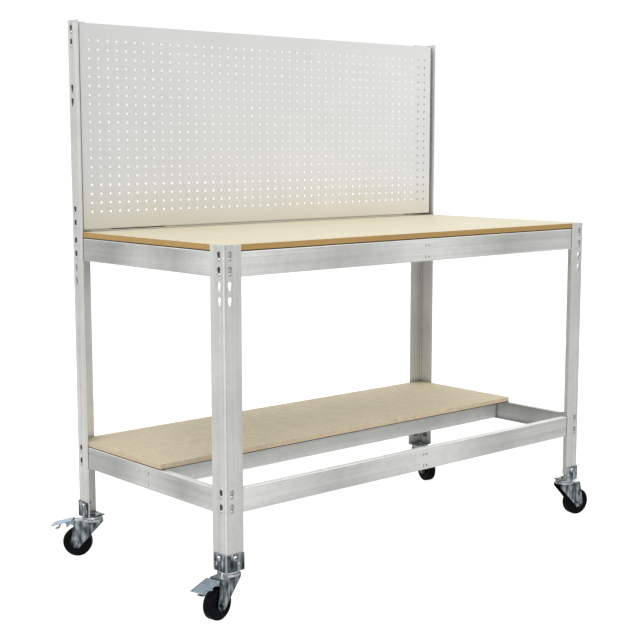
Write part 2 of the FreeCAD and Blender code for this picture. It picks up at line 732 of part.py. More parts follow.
# -------------------------------------------------------------------- castors
# A fixed race under the bracket floor, a pin headed at both ends, a fork that
# turns on it, and a wheel behind the pin on a through bolt. Local +X is the trail.
CORNERS = {
    "front_left": (LEFT + " + Sizes.swivel_inset", FRONT + " + Sizes.swivel_inset"),
    "front_right": (RIGHT + " - Sizes.swivel_inset", FRONT + " + Sizes.swivel_inset"),
    "back_left": (LEFT + " + Sizes.swivel_inset", BACK + " - Sizes.swivel_inset"),
    "back_right": (RIGHT + " - Sizes.swivel_inset", BACK + " - Sizes.swivel_inset"),
}
RACE_TOP = "(Sizes.post_foot - Sizes.bracket_sheet)"
RACE_BOTTOM = "(Sizes.post_foot - Sizes.bracket_sheet - Sizes.race_height)"
CROWN_BOTTOM = "(" + RACE_BOTTOM + " - Sizes.swivel_gap - Sizes.crown_height)"
FORK_WIDTH = "(Sizes.fork_inside + 2 * Sizes.fork_sheet)"


def on_castor(thing, corner, along="0", up="0"):
    """Place an object on a castor, along its trail and above the floor."""
    x, y = CORNERS[corner]
    turn = S + "turn_" + corner
    swing = "(" + along + ") * %s(" + turn + " * 1 deg)"
    place(thing, x + " + " + swing % "cos", y + " + " + swing % "sin", up, turn)


def bar(body, plane, low, high, radius, sides=0):
    """A bar along a plane's normal between two lifts: round, or regular with its flats at the radius."""
    section = new_sketch(body, plane, low)
    if sides:
        outline(section, regular("0", "0", radius, sides))
    else:
        circle(section, "0", "0", radius)
    pad(body, section, "(" + high + ") - (" + low + ")")


def kingpin(corner):
    body = new_body("kingpin_" + corner)
    head = S + "kingpin_head_flat"
    low_top = "(" + CROWN_BOTTOM + " - Sizes.swivel_gap)"
    low_bottom = low_top + " - Sizes.kingpin_head_height"
    seat = S + "post_foot"
    top = "Sizes.post_foot + Sizes.kingpin_head_height"
    bar(body, "XY_Plane", low_bottom, top, S + "kingpin_radius")
    bar(body, "XY_Plane", low_bottom, low_top, head, FLATS)
    bar(body, "XY_Plane", seat, top, head, FLATS)
    on_castor(body, corner)
    return body


def castor_race(corner):
    body = new_body("castor_race_" + corner)
    bar(body, "XY_Plane", RACE_BOTTOM, RACE_TOP, S + "race_radius")
    hole = new_sketch(body, "XY_Plane")
    outline(hole, regular("0", "0", PIN_HOLE, FLATS))
    cut_through(body, hole)
    on_castor(body, corner)
    return body


def castor_fork(corner, braked):
    body = new_body("castor_fork_" + corner)
    top = "(" + CROWN_BOTTOM + " + Sizes.fork_sheet)"
    side = new_sketch(body, "XZ_Plane")
    heel = "-Sizes.fork_heel"
    end = S + "fork_end_radius"
    axle_z = S + "wheel_radius"
    corners = [(heel, top), (S + "fork_toe", top), ("Sizes.trail + " + end, axle_z)]
    corners += [("Sizes.trail - " + end + " * 0.7071", axle_z + " - " + end + " * 0.7071")]
    corners += [(heel, CROWN_BOTTOM + " - Sizes.fork_heel_depth")]
    outline(side, corners)
    pad(body, side, FORK_WIDTH, symmetric=True)
    leg_end = new_sketch(body, "XZ_Plane")
    outline(leg_end, regular(S + "trail", axle_z, end, FLATS))
    pad(body, leg_end, FORK_WIDTH, symmetric=True)
    room = new_sketch(body, "XZ_Plane")
    behind = "-Sizes.crown_radius"
    ahead = "Sizes.trail + Sizes.wheel_radius"
    outline(room, [(behind, "0"), (ahead, "0"), (ahead, CROWN_BOTTOM), (behind, CROWN_BOTTOM)])
    inside = cut_length(body, room, S + "fork_inside")
    inside.SideType = "Symmetric"
    crown = new_sketch(body, "XY_Plane", CROWN_BOTTOM)
    circle(crown, "0", "0", S + "crown_radius")
    pad(body, crown, S + "crown_height")
    bore = new_sketch(body, "XY_Plane")
    circle(bore, "0", "0", "Sizes.kingpin_radius + Sizes.running_clearance")
    cut_through(body, bore)
    pins = new_sketch(body, "XZ_Plane")
    axle_hole = "Sizes.axle_radius + Sizes.hole_clearance"
    outline(pins, regular(S + "trail", axle_z, axle_hole, FLATS))
    if braked:
        pedal_hole = "Sizes.pedal_pin_radius + Sizes.hole_clearance"
        outline(pins, regular(S + "pedal_pivot_x", S + "pedal_pivot_z", pedal_hole, FLATS))
    cut_through(body, pins)
    on_castor(body, corner)
    return body


def cross_pin(label, shank, head_flat, head_height, sides, tail, corner, along, up):
    """A pin along local Y through both fork legs, headed at its near side, its tail beyond the far leg."""
    body = new_body(label)
    half = FORK_WIDTH + " / 2"
    bar(body, "XZ_Plane", "-(" + half + " + " + tail + ")", half, shank)
    bar(body, "XZ_Plane", half, half + " + " + head_height, head_flat, sides)
    on_castor(body, corner, along, up)
    return body


def wheel_axle(corner):
    """A hexagon bolt through both legs, its end beyond the nut."""
    label = "wheel_axle_" + corner
    radius = S + "axle_radius"
    head = S + "axle_head_flat"
    height = S + "axle_head_height"
    tail = "Sizes.nut_height + Sizes.axle_tail"
    return cross_pin(label, radius, head, height, 6, tail, corner, S + "trail", S + "wheel_radius")


def axle_nut(corner):
    body = new_body("axle_nut_" + corner)
    face = new_sketch(body, "XZ_Plane", "-(" + FORK_WIDTH + " / 2)")
    outline(face, regular("0", "0", S + "nut_flat", 6))
    outline(face, regular("0", "0", "Sizes.axle_radius + Sizes.hole_clearance", FLATS))
    pad(body, face, S + "nut_height", reverse=True)
    on_castor(body, corner, S + "trail", S + "wheel_radius")
    return body


def pedal_pin(corner):
    """A plain pin, its far end spread into a second head."""
    pivot_x = S + "pedal_pivot_x"
    pivot_z = S + "pedal_pivot_z"
    head = S + "pedal_pin_head_flat"
    height = S + "pedal_sheet"
    label = "pedal_pin_" + corner
    radius = S + "pedal_pin_radius"
    body = cross_pin(label, radius, head, height, FLATS, height, corner, pivot_x, pivot_z)
    far_leg = FORK_WIDTH + " / 2"
    bar(body, "XZ_Plane", "-(" + far_leg + " + " + height + ")", "-(" + far_leg + ")", head, FLATS)
    return body


def wheel_hub(corner):
    body = new_body("wheel_hub_" + corner)
    rim_side = "(Sizes.tyre_width / 2 - Sizes.hub_inset)"
    boss_side = "(Sizes.hub_length / 2)"
    bar(body, "XZ_Plane", "-" + rim_side, rim_side, S + "hub_radius")
    bar(body, "XZ_Plane", "-" + boss_side, boss_side, S + "hub_boss_flat", FLATS)
    bore = new_sketch(body, "XZ_Plane")
    circle(bore, "0", "0", "Sizes.axle_radius + Sizes.running_clearance")
    cut_through(body, bore)
    on_castor(body, corner, S + "trail", S + "wheel_radius")
    return body


def tyre(corner):
    body = new_body("tyre_" + corner)
    section = new_sketch(body, "XZ_Plane")
    circle(section, "0", "0", S + "wheel_radius")
    circle(section, "0", "0", "Sizes.hub_radius + Sizes.hole_clearance")
    pad(body, section, S + "tyre_width", symmetric=True)
    on_castor(body, corner, S + "trail", S + "wheel_radius")
    return body


def brake_pedal(corner):
    """A pressed tread on two ears, with a shoe over the tyre and a release tab under it."""
    body = new_body("brake_pedal_" + corner)
    pivot_x = S + "pedal_pivot_x"
    pivot_z = S + "pedal_pivot_z"
    run = "(Sizes.pedal_outer_x - Sizes.pedal_inner_x)"
    fall = "(Sizes.pedal_inner_z - Sizes.pedal_outer_z)"

    def tread_at(x, below):
        """Height of the tread's top face at x, less the stated depth."""
        slope = " - (" + x + " - Sizes.pedal_inner_x) * " + fall + " / " + run
        return "Sizes.pedal_inner_z" + slope + " - " + below

    skin = S + "pedal_sheet"
    half_skin = "Sizes.pedal_sheet / 2"
    ears = new_sketch(body, "XZ_Plane")
    radius = S + "pedal_ear_radius"
    front = "(Sizes.pedal_inner_x + Sizes.pedal_ear_reach)"
    corners = [(pivot_x + " - " + radius, pivot_z + " + " + radius), (pivot_x + " - " + radius, pivot_z)]
    corners += [(pivot_x, pivot_z + " - " + radius), (front, tread_at(front, skin + " * 2"))]
    inner_x = S + "pedal_inner_x"
    corners += [(front, tread_at(front, half_skin)), (inner_x, tread_at(inner_x, half_skin))]
    outline(ears, corners)
    ear_width = "(Sizes.fork_inside - 2 * Sizes.pedal_ear_gap)"
    pad(body, ears, ear_width, symmetric=True)
    room = new_sketch(body, "XZ_Plane")
    under = "Sizes.axle_radius"
    over = S + "pedal_inner_z"
    back = S + "kingpin_radius"
    ahead = S + "pedal_outer_x"
    outline(room, [(back, under), (ahead, under), (ahead, over), (back, over)])
    inside = cut_length(body, room, ear_width + " - 2 * Sizes.pedal_sheet")
    inside.SideType = "Symmetric"
    tread = new_sketch(body, "XZ_Plane")
    outer_x = S + "pedal_outer_x"
    corners = [(inner_x, tread_at(inner_x, "0")), (outer_x, tread_at(outer_x, "0"))]
    corners += [(outer_x, tread_at(outer_x, skin)), (inner_x, tread_at(inner_x, skin))]
    outline(tread, corners)
    pad(body, tread, S + "pedal_width", symmetric=True)
    shoe = new_sketch(body, "XZ_Plane")
    shoe_back = "(Sizes.shoe_x - Sizes.pedal_sheet)"
    shoe_front = "(Sizes.shoe_x + Sizes.pedal_sheet)"
    corners = [(shoe_back, S + "shoe_z"), (shoe_front, S + "shoe_z")]
    corners += [(shoe_front, tread_at(shoe_front, half_skin)), (shoe_back, tread_at(shoe_back, half_skin))]
    outline(shoe, corners)
    pad(body, shoe, S + "shoe_width", symmetric=True)
    tab = new_sketch(body, "XZ_Plane")
    root = "(Sizes.tab_x - Sizes.tab_reach - Sizes.pedal_sheet)"
    root_front = "(Sizes.tab_x - Sizes.tab_reach)"
    tip = "(Sizes.tab_x + Sizes.tab_reach)"
    tab_top = "Sizes.tab_z + Sizes.pedal_sheet"
    corners = [(root, tread_at(root, half_skin)), (S + "tab_x - Sizes.pedal_sheet", S + "tab_z")]
    corners += [(tip, S + "tab_z")]
    corners += [(tip, tab_top), (S + "tab_x", tab_top), (root_front, tread_at(root_front, half_skin))]
    outline(tab, corners)
    pad(body, tab, S + "tab_width", symmetric=True)
    bore = new_sketch(body, "XZ_Plane")
    circle(bore, pivot_x, pivot_z, "Sizes.pedal_pin_radius + Sizes.running_clearance")
    cut_through(body, bore)
    on_castor(body, corner)
    return body


for corner in CORNERS:
    braked = corner.endswith("left")
    sub_parts += [kingpin(corner), castor_race(corner), castor_fork(corner, braked)]
    sub_parts += [wheel_axle(corner), axle_nut(corner), wheel_hub(corner), tyre(corner)]
    if braked:
        sub_parts += [brake_pedal(corner), pedal_pin(corner)]

doc.removeObject("Probe")
doc.recompute()

# ------------------------------------------------------------ checks and files
for thing in doc.Objects:
    if "Invalid" in thing.State or "Error" in thing.State:
        raise ValueError("%s did not compute: %s" % (thing.Label, thing.State))
os.makedirs("parts", exist_ok=True)
for thing in sub_parts:
    shape = thing.Shape
    if shape.isNull() or not shape.isValid() or not shape.Solids:
        raise ValueError("%s has no valid solid" % thing.Label)
    if len(shape.Solids) > 1 and thing.TypeId == "PartDesign::Body":
        raise ValueError("%s fell into %d pieces" % (thing.Label, len(shape.Solids)))
for thing in sub_parts:
    thing.Shape.exportStep("parts/%s.step" % thing.Label)
print(len(sub_parts), "sub-parts written")
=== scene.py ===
import math

import bmesh
import bpy
from mathutils import Matrix, Vector


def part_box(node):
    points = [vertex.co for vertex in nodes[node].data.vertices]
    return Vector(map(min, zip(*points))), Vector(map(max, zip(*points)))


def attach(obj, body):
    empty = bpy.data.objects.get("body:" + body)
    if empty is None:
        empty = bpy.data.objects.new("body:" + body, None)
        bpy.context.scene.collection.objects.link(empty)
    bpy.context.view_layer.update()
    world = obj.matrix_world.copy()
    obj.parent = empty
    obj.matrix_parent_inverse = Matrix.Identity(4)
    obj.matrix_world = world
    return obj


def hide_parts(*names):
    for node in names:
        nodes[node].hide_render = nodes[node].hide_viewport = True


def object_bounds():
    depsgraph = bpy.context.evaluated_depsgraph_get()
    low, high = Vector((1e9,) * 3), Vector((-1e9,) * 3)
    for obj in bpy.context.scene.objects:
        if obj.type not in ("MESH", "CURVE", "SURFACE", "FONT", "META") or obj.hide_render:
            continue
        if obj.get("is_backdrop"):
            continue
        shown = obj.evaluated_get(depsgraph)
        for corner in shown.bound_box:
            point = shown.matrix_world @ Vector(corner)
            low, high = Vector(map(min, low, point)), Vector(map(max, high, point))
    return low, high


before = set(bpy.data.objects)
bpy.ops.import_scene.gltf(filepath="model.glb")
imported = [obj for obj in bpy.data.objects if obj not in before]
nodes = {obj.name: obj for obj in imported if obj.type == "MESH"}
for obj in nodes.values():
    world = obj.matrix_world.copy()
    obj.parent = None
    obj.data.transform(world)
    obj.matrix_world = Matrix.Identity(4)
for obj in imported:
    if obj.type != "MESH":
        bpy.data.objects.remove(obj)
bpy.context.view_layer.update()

# ------------------------------------------------------------------ the view
# The bench is seen from its front left corner at a little above worktop height,
# through a moderately long lens.
camera_data = bpy.data.cameras.new("view_camera")
camera_data.sensor_width = 36.0
camera_data.lens = 73.40
camera_data.clip_end = 60.0
camera = bpy.data.objects.new("view_camera", camera_data)
camera.location = (-2.67685, -2.92530, 1.2085)
looking = Vector((0.6571, 0.7420, -0.1331))
camera.rotation_euler = looking.to_track_quat("-Z", "Y").to_euler()
bpy.context.scene.collection.objects.link(camera)
bpy.context.scene.camera = camera

# --------------------------------------------------------------- floor, light
# A plain white studio: a wide pale floor, a sky that is bright overhead and behind
# the bench and dim on the near side, a large soft lamp high on the front left and a
# weaker one on the left. What lies behind the bench is plain white.
bpy.context.scene.view_settings.view_transform = "Standard"
FLOOR_WIDTH = 40.0
FLOOR_TONE = 0.30
FLOOR_GLOW = 0.20
FLOOR_GLOW_IN_VIEW = 0.74
floor_mesh = bpy.data.meshes.new("studio_floor")
floor_shape = bmesh.new()
bmesh.ops.create_grid(floor_shape, x_segments=1, y_segments=1, size=FLOOR_WIDTH)
floor_shape.to_mesh(floor_mesh)
floor_shape.free()
studio_floor = bpy.data.objects.new("studio_floor", floor_mesh)
bpy.context.scene.collection.objects.link(studio_floor)
floor_paint = bpy.data.materials.new("studio_floor_paint")
floor_paint.use_nodes = True
floor_nodes = floor_paint.node_tree.nodes
floor_links = floor_paint.node_tree.links
floor_shader = floor_nodes["Principled BSDF"]
floor_shader.inputs["Base Color"].default_value = (FLOOR_TONE, FLOOR_TONE, FLOOR_TONE, 1.0)
floor_shader.inputs["Roughness"].default_value = 0.9
floor_shader.inputs["Specular IOR Level"].default_value = 0.0
floor_seen = floor_nodes.new("ShaderNodeLightPath")
floor_glow = floor_nodes.new("ShaderNodeMath")
floor_glow.operation = "MULTIPLY_ADD"
floor_glow.inputs[1].default_value = FLOOR_GLOW_IN_VIEW
floor_glow.inputs[2].default_value = FLOOR_GLOW
floor_links.new(floor_seen.outputs["Is Camera Ray"], floor_glow.inputs[0])
floor_shader.inputs["Emission Color"].default_value = (1.0, 1.0, 1.0, 1.0)
floor_links.new(floor_glow.outputs[0], floor_shader.inputs["Emission Strength"])
floor_mesh.materials.append(floor_paint)
studio_floor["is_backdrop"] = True

SKY_HORIZON = 0.40
SKY_TOP = 1.20
BEHIND = (0.657, 0.742, 0.0)  # the level direction in which the sky is brighter
BEHIND_GLOW = 0.55
BACKDROP_GLOW = 1.05
studio_sky = bpy.data.worlds.new("studio_sky")
studio_sky.use_nodes = True
sky_nodes = studio_sky.node_tree.nodes
sky_links = studio_sky.node_tree.links
sky_light = sky_nodes["Background"]
sky_light.inputs["Color"].default_value = (1.0, 1.0, 1.0, 1.0)
sky_out = sky_nodes["World Output"]
direction = sky_nodes.new("ShaderNodeTexCoord")
height = sky_nodes.new("ShaderNodeSeparateXYZ")
sky_links.new(direction.outputs["Generated"], height.inputs["Vector"])


def sky_ramp(source, start, end, low, high):
    """A smooth step of the sky's brightness between two values of a direction."""
    ramp = sky_nodes.new("ShaderNodeMapRange")
    ramp.interpolation_type = "SMOOTHSTEP"
    ramp.inputs["From Min"].default_value = start
    ramp.inputs["From Max"].default_value = end
    ramp.inputs["To Min"].default_value = low
    ramp.inputs["To Max"].default_value = high
    sky_links.new(source, ramp.inputs["Value"])
    return ramp.outputs["Result"]


behind = sky_nodes.new("ShaderNodeVectorMath")
behind.operation = "DOT_PRODUCT"
behind.inputs[1].default_value = BEHIND
sky_links.new(direction.outputs["Generated"], behind.inputs[0])
behind_glow = sky_nodes.new("ShaderNodeMath")
behind_glow.operation = "MULTIPLY"
glow_behind = sky_ramp(behind.outputs["Value"], 0.35, 0.95, 0.0, BEHIND_GLOW)
sky_links.new(glow_behind, behind_glow.inputs[0])
sky_links.new(sky_ramp(height.outputs["Z"], 0.0, 0.6, 1.0, 0.0), behind_glow.inputs[1])
brightness = sky_nodes.new("ShaderNodeMath")
brightness.operation = "ADD"
sky_rise = sky_ramp(height.outputs["Z"], 0.0, 0.8, SKY_HORIZON, SKY_TOP)
sky_links.new(sky_rise, brightness.inputs[0])
sky_links.new(behind_glow.outputs[0], brightness.inputs[1])
sky_links.new(brightness.outputs[0], sky_light.inputs["Strength"])
backdrop = sky_nodes.new("ShaderNodeBackground")
backdrop.inputs["Color"].default_value = (1.0, 1.0, 1.0, 1.0)
backdrop.inputs["Strength"].default_value = BACKDROP_GLOW
seen = sky_nodes.new("ShaderNodeLightPath")
sky_mix = sky_nodes.new("ShaderNodeMixShader")
sky_links.new(seen.outputs["Is Camera Ray"], sky_mix.inputs["Fac"])
sky_links.new(sky_light.outputs["Background"], sky_mix.inputs[1])
sky_links.new(backdrop.outputs["Background"], sky_mix.inputs[2])
sky_links.new(sky_mix.outputs["Shader"], sky_out.inputs["Surface"])
bpy.context.scene.world = studio_sky


def soft_lamp(name, place, target, width, power):
    """A square area lamp at a place, turned to a target."""
    data = bpy.data.lights.new(name, "AREA")
    data.shape = "SQUARE"
    data.size = width
    data.energy = power
    lamp = bpy.data.objects.new(name, data)
    lamp.location = place
    aim = Vector(target) - Vector(place)
    lamp.rotation_euler = aim.to_track_quat("-Z", "Y").to_euler()
    bpy.context.scene.collection.objects.link(lamp)


soft_lamp("key_lamp", (-3.0, -3.5, 4.4), target=(0, 0, 0.7), width=3.0, power=130)
soft_lamp("left_lamp", (-4.5, 0.5, 2.4), target=(0, 0, 0.8), width=2.0, power=42)


# --------------------------------------------------------------- angle posts
# Four strips of galvanised sheet, each folded to an angle and punched with
# teardrop slots. Their cut edges are slightly eased.
class NodeMaker:
    """Short ways to place and join the nodes of one tree."""

    def __init__(self, tree):
        self.tree = tree

    def node(self, kind, **inputs):
        made = self.tree.nodes.new(kind)
        for name, value in inputs.items():
            self.feed(made.inputs[name.replace("_", " ")], value)
        return made

    def feed(self, socket, value):
        if isinstance(value, bpy.types.NodeSocket):
            self.tree.links.new(value, socket)
        else:
            socket.default_value = value

    def math(self, operation, *values):
        made = self.tree.nodes.new("ShaderNodeMath")
        made.operation = operation
        for socket, value in zip(made.inputs, values):
            self.feed(socket, value)
        return made.outputs[0]

    def vector(self, operation, first, second):
        made = self.tree.nodes.new("ShaderNodeVectorMath")
        made.operation = operation
        self.feed(made.inputs[0], first)
        self.feed(made.inputs["Scale" if operation == "SCALE" else 1], second)
        return made.outputs[0]

    def remap(self, value, low, high, to_low, to_high):
        made = self.tree.nodes.new("ShaderNodeMapRange")
        for name, given in (
            ("Value", value),
            ("From Min", low),
            ("From Max", high),
            ("To Min", to_low),
            ("To Max", to_high),
        ):
            self.feed(made.inputs[name], given)
        return made.outputs["Result"]

    def noise(self, vector, scale, detail=4.0, rough=0.6):
        made = self.node("ShaderNodeTexNoise", Vector=vector, Scale=scale)
        made.inputs["Detail"].default_value = detail
        made.inputs["Roughness"].default_value = rough
        return made.outputs["Fac"]

    def ramp(self, value, *stops):
        made = self.node("ShaderNodeValToRGB", Fac=value)
        ends = made.color_ramp.elements
        for index, (place, colour) in enumerate(stops):
            stop = ends[index] if index < 2 else ends.new(place)
            stop.position = place
            stop.color = tuple(colour) + (1.0,)
        return made.outputs["Color"]


def new_group(name, given, results):
    """A shader node group with these sockets, and a maker for its nodes."""
    group = bpy.data.node_groups.new(name, "ShaderNodeTree")
    for title, kind, value in given:
        socket = group.interface.new_socket(title, in_out="INPUT", socket_type="NodeSocket" + kind)
        socket.default_value = value
    for title, kind in results:
        group.interface.new_socket(title, in_out="OUTPUT", socket_type="NodeSocket" + kind)
    maker = NodeMaker(group)
    inside = maker.node("NodeGroupInput").outputs
    return group, maker, inside, maker.node("NodeGroupOutput").inputs


def make_painted_fold_light_and_corner_shade():
    """Shader group: painted light and shade on a bent sheet, and a mask of its folds.

    A fold gets a painted highlight, a bright line between two lines of painted shade, and painted
    shade darkens the corners. A piece that isn't square to the bench says how it is turned in its
    "turn" attribute."""
    group, make, given, result = new_group(
        "painted_fold_light_and_corner_shade",
        (("Fold Light", "Float", 0.2), ("Corner Shade", "Float", 0.4), ("Reach", "Float", 0.01)),
        (("Tone", "Float"), ("Fold", "Float")),
    )
    turn = make.node("ShaderNodeAttribute")
    turn.attribute_name = "turn"
    facing = make.node("ShaderNodeTexCoord").outputs["Normal"]
    square_on = make.node("ShaderNodeVectorRotate", Vector=facing)
    square_on.rotation_type = "Z_AXIS"
    make.feed(square_on.inputs["Angle"], make.math("MULTIPLY", turn.outputs["Fac"], -1.0))
    normal = make.node("ShaderNodeSeparateXYZ", Vector=square_on.outputs[0])
    x, y, z = (make.math("ABSOLUTE", normal.outputs[axis]) for axis in "XYZ")
    pairs = make.math("MAXIMUM", make.math("MULTIPLY", x, y), make.math("MULTIPLY", y, z))
    pairs = make.math("MAXIMUM", pairs, make.math("MULTIPLY", x, z))
    fold = make.math("MULTIPLY", pairs, 2.0)
    # Painted highlight: a bright ridge along each fold, with painted shade in the bands beside it.
    ridge = make.remap(fold, 0.55, 0.95, 0.0, 1.0)
    make.feed(result["Fold"], ridge)
    bright = make.math("MULTIPLY", ridge, given["Fold Light"])
    rising = make.remap(fold, 0.04, 0.3, 0.0, 1.0)
    beside = make.math("MULTIPLY", rising, make.remap(fold, 0.3, 0.6, 1.0, 0.0))
    lit = make.math("ADD", 1.0, bright)
    tone = make.math("SUBTRACT", lit, make.math("MULTIPLY", beside, 0.30))
    # Painted shade in corners and crevices, from how much of the sky a point sees.
    shade = make.node("ShaderNodeAmbientOcclusion", Distance=given["Reach"])
    shade.samples = 6
    corner = make.remap(shade.outputs["AO"], 0.25, 0.9, given["Corner Shade"], 1.0)
    make.feed(result["Tone"], make.math("MULTIPLY", tone, corner))
    return group


def make_zinc_skin():
    """Shader group: colour, roughness and height of zinc coated sheet.

    Rolling streaks run along the strip, over a faint spangle of crystals."""
    group, make, given, result = new_group(
        "zinc_skin",
        (
            ("Stretch", "Vector", (1.0, 1.0, 1.0)),
            ("Zinc", "Color", (0.6, 0.6, 0.6, 1.0)),
            ("Streaks", "Float", 0.1),
            ("Spangle", "Float", 0.05),
            ("Gloss", "Float", 0.4),
        ),
        (("Colour", "Color"), ("Roughness", "Float"), ("Height", "Float")),
    )
    where = make.node("ShaderNodeTexCoord").outputs["Object"]
    along = make.vector("MULTIPLY", where, given["Stretch"])
    streak = make.noise(along, 1.0, 5.0, 0.62)
    bands = make.noise(along, 0.28, 2.0, 0.5)
    crystals = make.node("ShaderNodeTexVoronoi", Vector=where, Scale=70.0)
    grain = make.node("ShaderNodeSeparateColor", Color=crystals.outputs["Color"])
    cloud = make.noise(where, 3.5, 3.0)

    def spread(source, amount):
        return make.math("MULTIPLY", make.math("SUBTRACT", source, 0.5), amount)

    shade = make.math("ADD", spread(streak, given["Streaks"]), 1.0)
    shade = make.math("ADD", shade, spread(bands, given["Streaks"]))
    shade = make.math("ADD", shade, spread(grain.outputs["Red"], given["Spangle"]))
    shade = make.math("ADD", shade, spread(cloud, given["Streaks"]))
    make.feed(result["Colour"], make.vector("SCALE", given["Zinc"], shade))
    rough = make.math("ADD", spread(streak, given["Streaks"]), given["Gloss"])
    rough = make.math("ADD", rough, spread(grain.outputs["Green"], given["Spangle"]))
    make.feed(result["Roughness"], rough)
    make.feed(result["Height"], streak)
    return group


painted_fold_light_and_corner_shade = make_painted_fold_light_and_corner_shade()
zinc_skin = make_zinc_skin()


def new_material(name, metallic=0.0, specular=0.5):
    """A node material, a maker for its nodes, and the sockets of its shader."""
    material = bpy.data.materials.new(name)
    material.use_nodes = True
    shader = material.node_tree.nodes["Principled BSDF"].inputs
    shader["Metallic"].default_value = metallic
    shader["Specular IOR Level"].default_value = specular
    return material, NodeMaker(material.node_tree), shader


def add_relief(make, shader, height, strength, depth=0.0005):
    """Raises and sinks the surface a little by a height."""
    bump = make.node("ShaderNodeBump", Strength=strength, Distance=depth, Height=height)
    make.feed(shader["Normal"], bump.outputs["Normal"])


def add_painted_light(make, fold_light, corner_shade, reach):
    """Painted highlights on folds and painted shade in corners, and the mask of the folds alone.
    """
    tone = make.node("ShaderNodeGroup")
    tone.node_tree = painted_fold_light_and_corner_shade
    tone.inputs["Fold Light"].default_value = fold_light
    tone.inputs["Corner Shade"].default_value = corner_shade
    tone.inputs["Reach"].default_value = reach
    return tone.outputs["Tone"], tone.outputs["Fold"]


def zinc_material(name, stretch, zinc, streaks, spangle, gloss, metallic, relief, corner=0.35):
    """A steel material that wears the zinc skin, streaked along the strip, with painted highlights
    on its folds and painted shade in its corners.
    """
    material, make, shader = new_material(name, metallic)
    skin = make.node("ShaderNodeGroup")
    skin.node_tree = zinc_skin
    for title, value in (
        ("Stretch", stretch),
        ("Zinc", zinc + (1.0,)),
        ("Streaks", streaks),
        ("Spangle", spangle),
        ("Gloss", gloss),
    ):
        skin.inputs[title].default_value = value
    # The folds get a painted highlight, and corner sets how dark the painted shade in the corners
    # is.
    tone, _ = add_painted_light(make, 0.2, corner, 0.012)
    make.feed(shader["Base Color"], make.vector("SCALE", skin.outputs["Colour"], tone))
    make.feed(shader["Roughness"], skin.outputs["Roughness"])
    add_relief(make, shader, skin.outputs["Height"], relief)
    return material


ALONG, ACROSS = 2.2, 240  # how close the streaks lie, down the strip and over it
upright_steel = zinc_material(
    "upright_steel",
    stretch=(ACROSS, ACROSS, ALONG),
    zinc=(0.77, 0.775, 0.745),
    streaks=0.44,
    spangle=0.06,
    gloss=0.40,
    metallic=0.6,
    relief=0.2,
)
SAME_POINT = 0.00002  # points nearer to each other than this are one
SHARP = math.radians(40)  # a bend under this angle is smooth, and one over it an edge
CORNERS = ("front_left", "front_right", "back_left", "back_right")


def dressed(name, node, body, material, slot, ease=0.0004, facets=1, parts=(), turn=None):
    """A finished copy of a CAD node: faces merged, edges eased, bends smooth.

    parts are further materials, each with a test of the faces that wear it. turn is the
    angle at which the piece stands to the bench."""
    source = nodes[node]
    shape = bmesh.new()
    shape.from_mesh(source.data)
    bmesh.ops.remove_doubles(shape, verts=shape.verts, dist=SAME_POINT)
    bmesh.ops.dissolve_limit(
        shape,
        angle_limit=math.radians(0.5),
        verts=shape.verts,
        edges=shape.edges,
        delimit={"NORMAL"},
    )
    for face in shape.faces:
        face.smooth = True
        for index, (_, wears) in enumerate(parts, start=1):
            if wears(face):
                face.material_index = index
    for edge in shape.edges:
        edge.smooth = len(edge.link_faces) == 2 and edge.calc_face_angle(math.pi) < SHARP
    mesh = bpy.data.meshes.new(name)
    shape.to_mesh(mesh)
    shape.free()
    piece = bpy.data.objects.new(name, mesh)
    bpy.context.scene.collection.objects.link(piece)
    if ease:
        bevel = piece.modifiers.new("eased_edges", "BEVEL")
        bevel.width = ease
        bevel.segments = facets
        bevel.limit_method = "ANGLE"
        bevel.angle_limit = SHARP
        bevel.harden_normals = True
    for worn in (material, *(other for other, _ in parts)):
        mesh.materials.append(worn)
    if turn is not None:
        angles = mesh.attributes.new("turn", "FLOAT", "POINT")
        angles.data.foreach_set("value", [turn] * len(mesh.vertices))
    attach(piece, body)
    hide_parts(node)


for corner in CORNERS:
    dressed("angle_post_" + corner, "post_" + corner, "frame", upright_steel, "galvanised_steel")


# -------------------------------------------------------------------- beams
# Folded channels with stepped end tabs and a pair of slits at mid length, of the
# same sheet as the posts, streaked along their own length.
# The same sheet in two brightnesses: a brighter copy for the front and back beams and the shelf
# tie, and a darker one for the side beams and the worktop tie. The difference is painted light and
# painted shade.
long_steel = zinc_material(
    "long_steel",
    stretch=(ALONG, ACROSS, ACROSS),
    zinc=(0.89, 0.89, 0.86),
    streaks=0.36,
    spangle=0.06,
    gloss=0.42,
    metallic=0.55,
    relief=0.2,
)
deep_steel = zinc_material(
    "deep_steel",
    stretch=(ACROSS, ALONG, ACROSS),
    zinc=(0.72, 0.725, 0.70),
    streaks=0.36,
    spangle=0.06,
    gloss=0.42,
    metallic=0.6,
    relief=0.2,
)


def shaded_material(name, zinc):
    """Zinc painted dark as shade where little light comes, with more painted shade on faces turned
    to the ends of the bench.
    """
    material, make, shader = new_material(name, metallic=0.4)
    where = make.node("ShaderNodeTexCoord")
    side = make.node("ShaderNodeSeparateXYZ", Vector=where.outputs["Normal"])
    ends = make.remap(make.math("ABSOLUTE", side.outputs["X"]), 0.4, 0.6, 1.0, 0.13)
    rub = make.remap(make.noise(where.outputs["Object"], 300.0), 0.2, 0.8, 0.8, 1.2)
    tone, _ = add_painted_light(make, 0.0, 0.04, 0.008)
    tone = make.math("MULTIPLY", make.math("MULTIPLY", tone, ends), rub)
    make.feed(shader["Base Color"], make.vector("SCALE", zinc, tone))
    make.feed(shader["Roughness"], make.math("MULTIPLY", rub, 0.5))
    return material


# The end tabs behind the post slots wear this painted shade.
hidden_steel = shaded_material("hidden_steel", (0.62, 0.62, 0.61))
